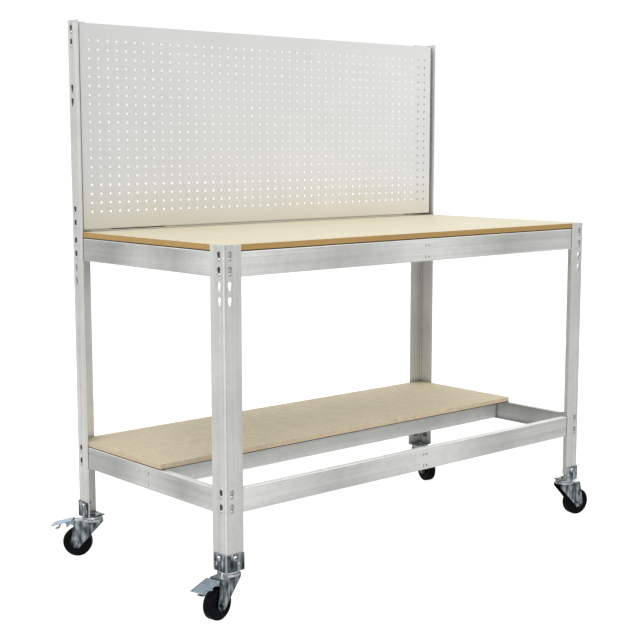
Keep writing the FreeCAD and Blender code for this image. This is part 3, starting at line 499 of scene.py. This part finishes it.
# A near black zinc, painted as the shade inside the slits and holes at the middle of the beams.
painted_slit_shade = shaded_material("painted_slit_shade", (0.10, 0.10, 0.10))
TAB_PLANES = (0.71975, 0.3551)  # outer faces of the end tabs, along X and along Y
HOOK_SPAN = 0.017  # of the slits and holes for a tie, each side of the middle of a beam
HOLE_WALL = 0.06  # longest outline of one face of such a slit or hole
SLACK = 0.0004  # how far a face may lie off the plane that it is known by


def in_a_slit(face):
    """The ends of a tie's hooks, inside the slits of the beams they hang in, which wear painted
    shade.
    """
    place = face.calc_center_median()
    return abs(place.x) > TAB_PLANES[0] or abs(place.y) > TAB_PLANES[1]


def round_a_hook(face):
    """The cut edges of the slits and round holes at the middle of a beam, which wear painted
    shade.
    """
    place = face.calc_center_median()
    for axis, plane in enumerate(TAB_PLANES):
        if abs(place[axis]) > plane and abs(place[1 - axis]) < HOOK_SPAN:
            return abs(face.normal[axis]) < 0.5 and face.calc_perimeter() < HOLE_WALL
    return False


def behind_slots(face):
    """The outer side of an end tab, which only shows through the slots of a post and wears painted
    shade.
    """
    place = face.calc_center_median()
    for axis, plane in enumerate(TAB_PLANES):
        outward = face.normal[axis] * place[axis] > 0
        level = abs(face.normal[axis]) > 0.9 and abs(abs(place[axis]) - plane) < SLACK
        if outward and level:
            return True
    return False


tabs = ((hidden_steel, behind_slots), (painted_slit_shade, round_a_hook))
for level in ("top", "lower"):
    for side in ("front", "back", "left", "right"):
        steel = long_steel if side in ("front", "back") else deep_steel
        name = level + "_beam_" + side
        dressed("folded_" + name, name, "frame", steel, "galvanised_steel", parts=tabs)
hooks = ((painted_slit_shade, in_a_slit),)
for name, tie, steel in (
    ("folded_shelf_tie", "shelf_front_beam", long_steel),
    ("folded_worktop_tie", "worktop_centre_support", deep_steel),
):
    dressed(name, tie, "frame", steel, "galvanised_steel", parts=hooks)


# ------------------------------------------------------------------- boards
# The worktop is sanded fibreboard, pale on the face and browner on the sawn
# edges. The shelf is particle board with visible flakes and pale sawn edges.
def board_material(name, face, edge, flake_mix, fibre, rough, painted_left_falloff, painted_shadow_bands):
    """Pressed wood: a sanded face and sawn edges, flecked, and a little darker to the left by
    painted light.

    The shadow bands are the ranges, along Y or Z, that lie in a narrow gap and carry a painted
    shadow."""
    material, make, shader = new_material(name, specular=0.45)
    where = make.node("ShaderNodeTexCoord")
    cloud = make.noise(make.vector("MULTIPLY", where.outputs["Object"], fibre), 1.0, 6.0, 0.65)
    flakes = make.node("ShaderNodeTexVoronoi", Vector=where.outputs["Object"], Scale=420)
    flake = make.node("ShaderNodeSeparateColor", Color=flakes.outputs["Color"])
    upright = make.node("ShaderNodeSeparateXYZ", Vector=where.outputs["Normal"])
    is_face = make.math("GREATER_THAN", make.math("ABSOLUTE", upright.outputs["Z"]), 0.6)
    ground = make.node("ShaderNodeMix")
    ground.data_type = "RGBA"
    make.feed(ground.inputs["Factor"], is_face)
    ground.inputs["A"].default_value = edge + (1.0,)
    ground.inputs["B"].default_value = face + (1.0,)
    grain = make.remap(cloud, 0.25, 0.75, 0.90, 1.08)
    flecks = make.remap(flake.outputs["Red"], 0.0, 1.0, 1.0 - flake_mix, 1.0 + flake_mix)
    place = make.node("ShaderNodeSeparateXYZ", Vector=where.outputs["Object"])
    # Painted light: the board darkens towards the left, where it reflects less light.
    across = make.remap(place.outputs["X"], -0.7, 0.1, painted_left_falloff, 1.0)
    relief = make.math("MULTIPLY", grain, flecks)
    # Painted shade in corners and under things, from how much of the sky a point sees.
    corner = make.node("ShaderNodeAmbientOcclusion", Distance=0.05)
    corner.samples = 6
    dim = make.remap(corner.outputs["AO"], 0.3, 0.95, 0.55, 1.0)
    shade = make.math("MULTIPLY", make.math("MULTIPLY", relief, across), dim)
    # Each band lies in a narrow gap and gets a painted shadow.
    for axis, low, high in painted_shadow_bands:
        gap = make.node("ShaderNodeMath", Value=place.outputs[axis])
        gap.operation = "COMPARE"
        gap.inputs[1].default_value = (low + high) / 2
        gap.inputs[2].default_value = (high - low) / 2
        shade = make.math("MULTIPLY", shade, make.remap(gap.outputs[0], 0.0, 1.0, 1.0, 0.06))
    make.feed(shader["Base Color"], make.vector("SCALE", ground.outputs["Result"], shade))
    make.feed(shader["Roughness"], make.remap(cloud, 0.0, 1.0, rough - 0.08, rough + 0.08))
    add_relief(make, shader, relief, 0.15, 0.0004)
    return material


# The worktop's edges carry a painted shadow just over the beams, and its face a painted shadow
# under the panel.
board_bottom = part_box("worktop")[0][2]
panel_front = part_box("back_panel")[0][1]
fibreboard = board_material(
    "fibreboard",
    face=(0.65, 0.59, 0.43),
    edge=(0.46, 0.285, 0.092),
    flake_mix=0.03,
    fibre=(3, 40, 40),
    rough=0.45,
    painted_left_falloff=0.92,
    painted_shadow_bands=(
        ("Z", board_bottom - 0.001, board_bottom + 0.003),
        ("Y", panel_front, panel_front + 0.013),
    ),
)
dressed("worktop_board", "worktop", "frame", fibreboard, "worktop_board", ease=0.0006)
shelf_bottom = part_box("lower_shelf")[0][2]
particle_board = board_material(
    "particle_board",
    face=(0.75, 0.655, 0.46),
    edge=(0.75, 0.62, 0.43),
    flake_mix=0.13,
    fibre=(30, 30, 30),
    rough=0.7,
    painted_left_falloff=0.77,
    painted_shadow_bands=(("Z", shelf_bottom - 0.001, shelf_bottom + 0.0026),),
)
dressed("shelf_board", "lower_shelf", "frame", particle_board, "shelf_board", ease=0.0005)


# --------------------------------------------------------------- back panel
# One folded sheet with a square grid of small round holes through its face. Its
# ends fold back, step out and lie inside the back posts; long edges fold back.
PANEL_LOW = Vector(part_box("back_panel")[0])
PANEL_HIGH = Vector(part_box("back_panel")[1])
SHADED_FOLD = 0.003  # height of the bottom fold that carries a painted shadow from the gap
SHADOW_STRETCHES = (-0.525, 0.68)  # along X, the middles of the stretches where the painted shadow at its foot is darkest
SHADOW_STRETCH_HALF = 0.09


def panel_material():
    """Pale grey coated steel, warmer low down, with a painted reflection that brightens it to the
    right and a painted shadow at its foot.
    """
    material, make, shader = new_material("panel_paint", metallic=0.2)
    where = make.node("ShaderNodeTexCoord").outputs["Object"]
    place = make.node("ShaderNodeSeparateXYZ", Vector=where)
    rise = make.remap(place.outputs["Z"], PANEL_LOW.z, PANEL_HIGH.z, 0.0, 1.0)
    colour = make.ramp(rise, (0.0, (0.72, 0.68, 0.585)), (0.22, (0.765, 0.775, 0.775)))
    # Painted reflection: the panel brightens from left to right.
    across = make.remap(place.outputs["X"], PANEL_LOW.x, PANEL_HIGH.x, 0.88, 1.16)
    cloud = make.remap(make.noise(where, 4.0, 5.0), 0.2, 0.8, 0.96, 1.04)
    # Painted highlights on the folds and painted shade in the corners.
    tone, _ = add_painted_light(make, 0.1, 0.45, 0.012)
    tone = make.math("MULTIPLY", make.math("MULTIPLY", tone, across), cloud)
    # Painted shadow along the bottom fold in the gap over the worktop, near black in two
    # stretches.
    shade_top = PANEL_LOW.z + SHADED_FOLD
    above_painted_shadow = make.remap(place.outputs["Z"], shade_top, shade_top + 0.0008, 0.0, 1.0)
    nearest = make.math(
        "MINIMUM",
        *(
            make.math("ABSOLUTE", make.math("SUBTRACT", place.outputs["X"], middle))
            for middle in SHADOW_STRETCHES
        ),
    )
    painted_shadow_tone = make.remap(nearest, SHADOW_STRETCH_HALF, SHADOW_STRETCH_HALF + 0.01, 0.01, 0.55)
    tone = make.math("MULTIPLY", tone, make.math("MAXIMUM", above_painted_shadow, painted_shadow_tone))
    make.feed(shader["Base Color"], make.vector("SCALE", colour, tone))
    peel = make.noise(where, 900.0, 2.0)
    make.feed(shader["Roughness"], make.remap(peel, 0.0, 1.0, 0.36, 0.52))
    add_relief(make, shader, peel, 0.06, 0.0002)
    return material


panel_paint = panel_material()
PANEL_SKIN = 0.0012
PANEL_RETURN = 0.0108  # the long edges' folds, behind the face
PANEL_STEP_Y = PANEL_HIGH.y - 0.0228  # where the ends step out into the posts
FACE_HALF_WIDTH = 0.70975
FACE_Y = PANEL_LOW.y
HOLE_COLUMNS = 45
HOLE_ROWS = 20
HOLE_PITCH_X = 0.0309
HOLE_PITCH_Z = 0.0254
HOLE_RADIUS = 0.0034
HOLE_SIDES = 12
FIRST_HOLE_Z = 1.0184


def new_tree(name, *inputs):
    """A geometry node tree with these inputs, a maker for its nodes, and its two ends."""
    tree = bpy.data.node_groups.new(name, "GeometryNodeTree")
    tree.interface.new_socket("Geometry", in_out="OUTPUT", socket_type="NodeSocketGeometry")
    for title, kind in inputs:
        tree.interface.new_socket(title, in_out="INPUT", socket_type="NodeSocket" + kind)
    maker = NodeMaker(tree)
    inside = maker.node("NodeGroupInput").outputs
    return tree, maker, inside, maker.node("NodeGroupOutput").inputs["Geometry"]


def perforation_tree():
    """Geometry nodes: a sheet with a grid of round holes, lying in the XY plane."""
    tree, make, given, result = new_tree(
        "perforated_sheet",
        ("Width", "Float"),
        ("Height", "Float"),
        ("Thickness", "Float"),
        ("Columns", "Int"),
        ("Rows", "Int"),
        ("Column Pitch", "Float"),
        ("Row Pitch", "Float"),
        ("Grid Centre", "Vector"),
        ("Hole Radius", "Float"),
        ("Paint", "Material"),
    )
    rim = make.node("GeometryNodeCurvePrimitiveQuadrilateral")
    make.feed(rim.inputs["Width"], given["Width"])
    make.feed(rim.inputs["Height"], given["Height"])
    grid = make.node("GeometryNodeMeshGrid")
    for size, vertices, count, pitch in (
        ("Size X", "Vertices X", "Columns", "Column Pitch"),
        ("Size Y", "Vertices Y", "Rows", "Row Pitch"),
    ):
        steps = make.math("SUBTRACT", given[count], 1.0)
        make.feed(grid.inputs[size], make.math("MULTIPLY", steps, given[pitch]))
        make.feed(grid.inputs[vertices], given[count])
    moved = make.node("GeometryNodeTransform", Geometry=grid.outputs["Mesh"])
    make.feed(moved.inputs["Translation"], given["Grid Centre"])
    ring = make.node("GeometryNodeCurvePrimitiveCircle", Resolution=HOLE_SIDES)
    make.feed(ring.inputs["Radius"], given["Hole Radius"])
    punched = make.node("GeometryNodeInstanceOnPoints", Points=moved.outputs["Geometry"])
    make.feed(punched.inputs["Instance"], ring.outputs["Curve"])
    real_rings = make.node("GeometryNodeRealizeInstances", Geometry=punched.outputs[0])
    outlines = make.node("GeometryNodeJoinGeometry")
    make.feed(outlines.inputs["Geometry"], rim.outputs["Curve"])
    make.feed(outlines.inputs["Geometry"], real_rings.outputs["Geometry"])
    sheet = make.node("GeometryNodeFillCurve", Curve=outlines.outputs["Geometry"])
    walls = make.node("GeometryNodeExtrudeMesh", Mesh=sheet.outputs["Mesh"], Individual=False)
    make.feed(walls.inputs["Offset Scale"], given["Thickness"])
    back = make.node("GeometryNodeFlipFaces", Mesh=sheet.outputs["Mesh"])
    closed = make.node("GeometryNodeJoinGeometry")
    make.feed(closed.inputs["Geometry"], walls.outputs["Mesh"])
    make.feed(closed.inputs["Geometry"], back.outputs["Mesh"])
    welded = make.node("GeometryNodeMergeByDistance", Distance=SAME_POINT)
    make.feed(welded.inputs["Geometry"], closed.outputs["Geometry"])
    real = make.node("GeometryNodeRealizeInstances", Geometry=welded.outputs["Geometry"])
    painted = make.node("GeometryNodeSetMaterial", Geometry=real.outputs["Geometry"])
    make.feed(painted.inputs["Material"], given["Paint"])
    make.feed(result, painted.outputs["Geometry"])
    return tree


def grown(name, tree, values, base=None):
    """The plain mesh that a node tree grows with these inputs."""
    host = bpy.data.objects.new(name + "_host", base or bpy.data.meshes.new(name + "_host"))
    bpy.context.scene.collection.objects.link(host)
    modifier = host.modifiers.new(name, "NODES")
    modifier.node_group = tree
    for item in tree.interface.items_tree:
        if item.item_type == "SOCKET" and item.in_out == "INPUT" and item.name in values:
            modifier[item.identifier] = values[item.name]
    bpy.context.view_layer.update()
    evaluated = host.evaluated_get(bpy.context.evaluated_depsgraph_get())
    mesh = bpy.data.meshes.new_from_object(evaluated)
    mesh.name = name
    bpy.data.objects.remove(host)
    return mesh


panel_height = PANEL_HIGH.z - PANEL_LOW.z
panel_middle = (PANEL_LOW.z + PANEL_HIGH.z) / 2
grid_middle = FIRST_HOLE_Z + (HOLE_ROWS - 1) * HOLE_PITCH_Z / 2
perforated = grown(
    "perforated_face",
    perforation_tree(),
    {
        "Width": 2 * FACE_HALF_WIDTH,
        "Height": panel_height,
        "Thickness": PANEL_SKIN,
        "Columns": HOLE_COLUMNS,
        "Rows": HOLE_ROWS,
        "Column Pitch": HOLE_PITCH_X,
        "Row Pitch": HOLE_PITCH_Z,
        "Grid Centre": (0.0, grid_middle - panel_middle, 0.0),
        "Hole Radius": HOLE_RADIUS,
        "Paint": panel_paint,
    },
)
stand_up = Matrix.Translation((0, FACE_Y + PANEL_SKIN, panel_middle))
perforated.transform(stand_up @ Matrix.Rotation(math.radians(90), 4, "X"))
panel_shape = bmesh.new()
panel_shape.from_mesh(perforated)


def folded_strip(shape, path, low, high, skin):
    """An upright folded sheet, its plan a path of square corners thickened to one side."""
    offset = []
    for index, point in enumerate(path):
        before = Vector(path[max(index - 1, 0)])
        after = Vector(path[min(index + 1, len(path) - 1)])
        here = Vector(point)
        normals = []
        for one, two in ((before, here), (here, after)):
            run = two - one
            if run.length > 1e-9:
                normals.append(Vector((-run.y, run.x)).normalized())
        offset.append(here + sum(normals, Vector((0, 0))) * skin)
    ring = [Vector(p) for p in path] + offset[::-1]
    lower = [shape.verts.new((p.x, p.y, low)) for p in ring]
    upper = [shape.verts.new((p.x, p.y, high)) for p in ring]
    count = len(ring)
    faces = []
    for i in range(count):
        j = (i + 1) % count
        faces.append(shape.faces.new((lower[i], lower[j], upper[j], upper[i])))
    faces.append(shape.faces.new(lower[::-1]))
    faces.append(shape.faces.new(upper))
    bmesh.ops.recalc_face_normals(shape, faces=faces)


for side in (-1, 1):
    end_path = [
        (side * FACE_HALF_WIDTH, FACE_Y + PANEL_SKIN),
        (side * FACE_HALF_WIDTH, PANEL_STEP_Y),
        (side * PANEL_HIGH.x, PANEL_STEP_Y),
        (side * PANEL_HIGH.x, PANEL_HIGH.y),
    ]
    folded_strip(panel_shape, end_path, PANEL_LOW.z, PANEL_HIGH.z, side * PANEL_SKIN)
inner = FACE_HALF_WIDTH - PANEL_SKIN
for low, high in (
    (PANEL_LOW.z, PANEL_LOW.z + PANEL_SKIN),
    (PANEL_HIGH.z - PANEL_SKIN, PANEL_HIGH.z),
):
    bmesh.ops.create_cube(
        panel_shape,
        size=1.0,
        matrix=Matrix.Translation((0, FACE_Y + PANEL_SKIN + PANEL_RETURN / 2, (low + high) / 2))
        @ Matrix.Diagonal((2 * inner, PANEL_RETURN, high - low, 1.0)),
    )
panel_shape.normal_update()
# The flange faces behind the post slots wear the painted shade of hidden_steel.
for face in panel_shape.faces:
    face.material_index = int(behind_slots(face))
panel_mesh = bpy.data.meshes.new("perforated_panel")
panel_shape.to_mesh(panel_mesh)
panel_shape.free()
panel_mesh.materials.append(panel_paint)
panel_mesh.materials.append(hidden_steel)
perforated_panel = bpy.data.objects.new("perforated_panel", panel_mesh)
bpy.context.scene.collection.objects.link(perforated_panel)
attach(perforated_panel, "frame")
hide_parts("back_panel")


# ------------------------------------------------------------------- rivets
# Domed zinc rivets are pressed into the end tabs of the beams and of the panel and
# sit in the narrow ends of the slots, head outwards.
bright_zinc = zinc_material(
    "bright_zinc",
    stretch=(200, 200, 200),
    zinc=(0.66, 0.68, 0.69),
    streaks=0.2,
    spangle=0.0,
    gloss=0.30,
    metallic=0.9,
    relief=0.1,
    corner=0.25,
)
CONE_STEPS = 4
SPREAD = CONE_STEPS / (CONE_STEPS - 1)  # brings the cone's first step out over its foot


def domed_head_tree():
    """Geometry nodes: a rimmed, domed head with a shank behind it on every point."""
    tree, make, given, result = new_tree(
        "domed_heads",
        ("Geometry", "Geometry"),
        ("Head Radius", "Float"),
        ("Head Height", "Float"),
        ("Rim Height", "Float"),
        ("Shank Radius", "Float"),
        ("Shank Length", "Float"),
        ("Sides", "Int"),
        ("Paint", "Material"),
    )
    cone = make.node("GeometryNodeMeshCone", Vertices=given["Sides"])
    cone.inputs["Side Segments"].default_value = CONE_STEPS
    cone.inputs["Radius Top"].default_value = 0.0
    make.feed(cone.inputs["Radius Bottom"], given["Head Radius"])
    make.feed(cone.inputs["Depth"], given["Head Height"])
    position = make.node("GeometryNodeInputPosition").outputs[0]
    place = make.node("ShaderNodeSeparateXYZ", Vector=position)
    climb = make.math("DIVIDE", place.outputs["Z"], given["Head Height"])
    left = make.math("SUBTRACT", 1.0, climb)
    widen = make.math("DIVIDE", 1.0, make.math("MAXIMUM", left, 0.001))
    widen = make.math("MINIMUM", widen, SPREAD)
    reach = make.math("MULTIPLY", left, SPREAD)
    crown = make.math("SUBTRACT", 1.0, make.math("MULTIPLY", reach, reach))
    above_rim = make.math("SUBTRACT", given["Head Height"], given["Rim Height"])
    lift = make.math("ADD", given["Rim Height"], make.math("MULTIPLY", crown, above_rim))
    off_foot = make.math("MINIMUM", make.math("MULTIPLY", climb, 10.0), 1.0)
    lift = make.math("MULTIPLY", lift, off_foot)
    domed = make.node(
        "ShaderNodeCombineXYZ",
        X=make.math("MULTIPLY", place.outputs["X"], widen),
        Y=make.math("MULTIPLY", place.outputs["Y"], widen),
        Z=lift,
    )
    dome = make.node("GeometryNodeSetPosition", Geometry=cone.outputs["Mesh"])
    make.feed(dome.inputs["Position"], domed.outputs[0])
    normal = make.node("GeometryNodeInputNormal").outputs[0]
    facing = make.node("ShaderNodeSeparateXYZ", Vector=normal)
    smooth = make.node("GeometryNodeSetShadeSmooth", Geometry=dome.outputs[0])
    make.feed(smooth.inputs["Selection"], make.math("GREATER_THAN", facing.outputs["Z"], 0.05))
    rod = make.node("GeometryNodeMeshCylinder", Vertices=given["Sides"])
    make.feed(rod.inputs["Radius"], given["Shank Radius"])
    make.feed(rod.inputs["Depth"], given["Shank Length"])
    down = make.node("ShaderNodeCombineXYZ", Z=make.math("MULTIPLY", given["Shank Length"], -0.5))
    shank = make.node("GeometryNodeTransform", Geometry=rod.outputs["Mesh"])
    make.feed(shank.inputs["Translation"], down.outputs[0])
    stud = make.node("GeometryNodeJoinGeometry")
    make.feed(stud.inputs[0], smooth.outputs[0])
    make.feed(stud.inputs[0], shank.outputs[0])
    aim = make.node("GeometryNodeInputNamedAttribute", Name="aim")
    aim.data_type = "FLOAT_VECTOR"
    turn = make.node("FunctionNodeAlignRotationToVector", Vector=aim.outputs["Attribute"])
    turn.axis = "Z"
    placed = make.node("GeometryNodeInstanceOnPoints", Points=given["Geometry"])
    make.feed(placed.inputs["Rotation"], turn.outputs[0])
    make.feed(placed.inputs["Instance"], stud.outputs[0])
    real = make.node("GeometryNodeRealizeInstances", Geometry=placed.outputs[0])
    painted = make.node("GeometryNodeSetMaterial", Geometry=real.outputs[0])
    make.feed(painted.inputs["Material"], given["Paint"])
    make.feed(result, painted.outputs[0])
    return tree


def seats(node, head_height):
    """Where each loose part of a node has the underside of its head, and its outward way."""
    shape = bmesh.new()
    shape.from_mesh(nodes[node].data)
    bmesh.ops.remove_doubles(shape, verts=shape.verts, dist=SAME_POINT)
    waiting = set(shape.verts)
    found = []
    for first in shape.verts:
        if first not in waiting:
            continue
        waiting.remove(first)
        part = [first]
        for vert in part:
            for edge in vert.link_edges:
                other = edge.other_vert(vert)
                if other in waiting:
                    waiting.remove(other)
                    part.append(other)
        least = Vector([min(vert.co[axis] for vert in part) for axis in range(3)])
        most = Vector([max(vert.co[axis] for vert in part) for axis in range(3)])
        size = most - least
        seat = (least + most) / 2
        axis = min(range(3), key=lambda k: size[k])
        out = Vector([float(k == axis) for k in range(3)]) * math.copysign(1.0, seat[axis])
        found.append((seat + out * (size[axis] / 2 - head_height), out))
    shape.free()
    return found


domed_heads = domed_head_tree()


def studded(name, node, sizes):
    """Domed studs in place of a node of plain ones, grown on its seats."""
    placed = seats(node, sizes["Head Height"])
    points = bpy.data.meshes.new(name + "_seats")
    points.from_pydata([seat for seat, _ in placed], [], [])
    aims = points.attributes.new("aim", "FLOAT_VECTOR", "POINT")
    for index, (seat, out) in enumerate(placed):
        aims.data[index].vector = out
    mesh = grown(name, domed_heads, sizes, points)
    piece = bpy.data.objects.new(name, mesh)
    bpy.context.scene.collection.objects.link(piece)
    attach(piece, "frame")
    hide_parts(node)


RIVET = {
    "Head Radius": 0.00475,
    "Head Height": 0.002,
    "Rim Height": 0.0005,
    "Shank Radius": 0.0027,
    "Shank Length": 0.002,
    "Sides": 14,
    "Paint": bright_zinc,
}
studded("rivets_of_beams", "beam_rivets", RIVET)
studded("rivets_of_panel", "panel_rivets", RIVET)


# ---------------------------------------------------------- castor brackets
# Pressed cups of zinc plated plate, bolted round the feet of the posts. The plating is glossy, and
# its colour carries painted reflections, in dark and bright bands, and painted highlights along
# its edges.
def plated_material(name, dark, middle, bright, patch, rough):
    """Glossy plated steel: painted reflections in soft dark and light bands down the pressing, and
    painted highlights on its edges.
    """
    material, make, shader = new_material(name, metallic=1.0)
    where = make.node("ShaderNodeTexCoord").outputs["Object"]
    upright = make.vector("MULTIPLY", where, (patch, patch, patch * 0.35))
    bands = make.noise(upright, 1.0, 1.5, 0.4)
    fine = make.noise(where, patch * 9.0, 3.0, 0.6)
    # Painted reflections: the colour runs from dark to bright along the bands.
    colour = make.ramp(bands, (0.30, dark), (0.72, bright), (0.50, middle))
    # Painted shade in the corners.
    tone, fold = add_painted_light(make, 0.0, 0.10, 0.012)
    tone = make.math("MULTIPLY", tone, make.remap(fine, 0.2, 0.8, 0.88, 1.12))
    # Painted highlights: the folds and edges take the bright colour.
    painted_edge_highlight = make.node("ShaderNodeMix")
    painted_edge_highlight.data_type = "RGBA"
    make.feed(painted_edge_highlight.inputs["Factor"], make.math("MULTIPLY", fold, 0.85))
    make.feed(painted_edge_highlight.inputs["A"], make.vector("SCALE", colour, tone))
    painted_edge_highlight.inputs["B"].default_value = tuple(bright) + (1.0,)
    make.feed(shader["Base Color"], painted_edge_highlight.outputs["Result"])
    make.feed(shader["Roughness"], make.remap(fine, 0.0, 1.0, rough - 0.06, rough + 0.10))
    add_relief(make, shader, bands, 0.4, 0.003)
    return material


dark_zinc = plated_material(
    "dark_zinc",
    dark=(0.03, 0.038, 0.044),
    middle=(0.17, 0.205, 0.225),
    bright=(0.66, 0.73, 0.76),
    patch=85.0,
    rough=0.17,
)
bolt_zinc = plated_material(
    "bolt_zinc",
    dark=(0.08, 0.09, 0.10),
    middle=(0.28, 0.31, 0.33),
    bright=(0.70, 0.72, 0.73),
    patch=160.0,
    rough=0.22,
)
for corner in CORNERS:
    names = "bracket_" + corner, "castor_bracket_" + corner
    dressed(*names, "frame", dark_zinc, "dark_zinc", ease=0.0009, facets=2)
BOLT = {
    "Head Radius": 0.0085,
    "Head Height": 0.005,
    "Rim Height": 0.0008,
    "Shank Radius": 0.004,
    "Shank Length": 0.0115,
    "Sides": 20,
    "Paint": bolt_zinc,
}
studded("bolts_of_brackets", "bracket_bolts", BOLT)
dressed("nuts_of_brackets", "bracket_nuts", "frame", bolt_zinc, "zinc_plated")


# ------------------------------------------------------------------ castors
# Each castor has a fixed race and headed pin, a turning fork, and a black wheel
# on a through bolt. The two on the left carry a pressed brake pedal.
def black_material(name, tone, worn, rough, scale):
    """Moulded black rubber or plastic, greyer where it is scuffed, with painted shade in its
    corners.
    """
    material, make, shader = new_material(name, specular=0.07)
    where = make.node("ShaderNodeTexCoord").outputs["Object"]
    scuff = make.noise(where, scale, 6.0, 0.6)
    colour = make.ramp(scuff, (0.40, tone), (0.85, worn))
    # Painted shade in the corners.
    tone, _ = add_painted_light(make, 0.0, 0.3, 0.008)
    make.feed(shader["Base Color"], make.vector("SCALE", colour, tone))
    make.feed(shader["Roughness"], make.remap(scuff, 0.0, 1.0, rough - 0.1, rough + 0.15))
    add_relief(make, shader, scuff, 0.2, 0.0003)
    return material


def tread_material(name, turned):
    """Pale plated pressing with shallow ribs across the tread, turned with its castor, with
    painted highlights on its folds and painted shade in its corners.
    """
    material, make, shader = new_material(name, metallic=0.9)
    where = make.node("ShaderNodeTexCoord").outputs["Object"]
    turn = make.node("ShaderNodeMapping", Vector=where)
    turn.inputs["Rotation"].default_value = (0.0, 0.0, -turned)
    ribs = make.node("ShaderNodeTexWave", Vector=turn.outputs[0], Scale=28.0, Distortion=0.3)
    cloud = make.noise(where, 60.0, 3.0, 0.6)
    colour = make.ramp(cloud, (0.30, (0.33, 0.43, 0.53)), (0.70, (0.57, 0.68, 0.78)))
    # Painted highlights on the folds and painted shade in the corners.
    tone, _ = add_painted_light(make, 0.6, 0.2, 0.008)
    tone = make.math("MULTIPLY", tone, make.remap(ribs.outputs["Fac"], 0.0, 1.0, 0.93, 1.05))
    make.feed(shader["Base Color"], make.vector("SCALE", colour, tone))
    make.feed(shader["Roughness"], make.remap(cloud, 0.0, 1.0, 0.24, 0.42))
    add_relief(make, shader, ribs.outputs["Fac"], 0.25, 0.0006)
    return material


race_zinc = plated_material(
    "race_zinc",
    dark=(0.30, 0.33, 0.34),
    middle=(0.66, 0.70, 0.71),
    bright=(0.88, 0.90, 0.91),
    patch=60.0,
    rough=0.22,
)
tyre_rubber = black_material(
    "tyre_rubber", (0.002, 0.0024, 0.003), (0.009, 0.010, 0.012), rough=0.40, scale=300
)
wheel_plastic = black_material(
    "wheel_plastic", (0.003, 0.0034, 0.004), (0.014, 0.015, 0.017), rough=0.32, scale=500
)
CROWN_BOTTOM = 0.1075  # height over which the fork wears the race's brighter plating as a painted highlight
TREAD_BOTTOM = 0.0895  # height under which the brake pedal is dark
# The crown of each fork wears race_zinc as a painted highlight.
crown = ((race_zinc, lambda face: face.calc_center_median().z > CROWN_BOTTOM),)
under_tread = ((dark_zinc, lambda face: face.calc_center_median().z < TREAD_BOTTOM),)


def middle_of(node):
    """The middle of a node's box."""
    least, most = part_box(node)
    return (Vector(least) + Vector(most)) / 2


for corner in CORNERS:
    swivel = "swivel_" + corner
    wheel = "wheel_" + corner
    trail = middle_of("tyre_" + corner) - middle_of("kingpin_" + corner)
    turned = math.atan2(trail.y, trail.x)
    for piece, node, body, material, slot, ease, facets, parts, turn in (
        ("race_", "castor_race_", "frame", race_zinc, "zinc_plated", 0.0012, 2, (), None),
        ("swivel_pin_", "kingpin_", "frame", bolt_zinc, "zinc_plated", 0.0006, 2, (), None),
        ("fork_", "castor_fork_", swivel, dark_zinc, "dark_zinc", 0.0011, 2, crown, turned),
        ("axle_", "wheel_axle_", swivel, bolt_zinc, "zinc_plated", 0.0006, 2, (), turned),
        ("nut_", "axle_nut_", swivel, bolt_zinc, "zinc_plated", 0.0004, 1, (), turned),
        ("hub_", "wheel_hub_", wheel, wheel_plastic, "wheel_plastic", 0.0008, 2, (), None),
        ("rubber_", "tyre_", wheel, tyre_rubber, "tyre_rubber", 0.0045, 3, (), None),
    ):
        names = piece + corner, node + corner
        dressed(*names, body, material, slot, ease, facets, parts, turn)
    if corner.endswith("left"):
        pedal = "pedal_" + corner
        pin = "pedal_pin_" + corner
        dressed("pin_of_" + pedal, pin, swivel, bolt_zinc, "zinc_plated", ease=0.0003)
        tread = tread_material("tread_" + corner, turned)
        dressed(pedal, "brake_" + pedal, pedal, tread, "pale_zinc", 0.0006, 2, under_tread, turned)

low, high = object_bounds()
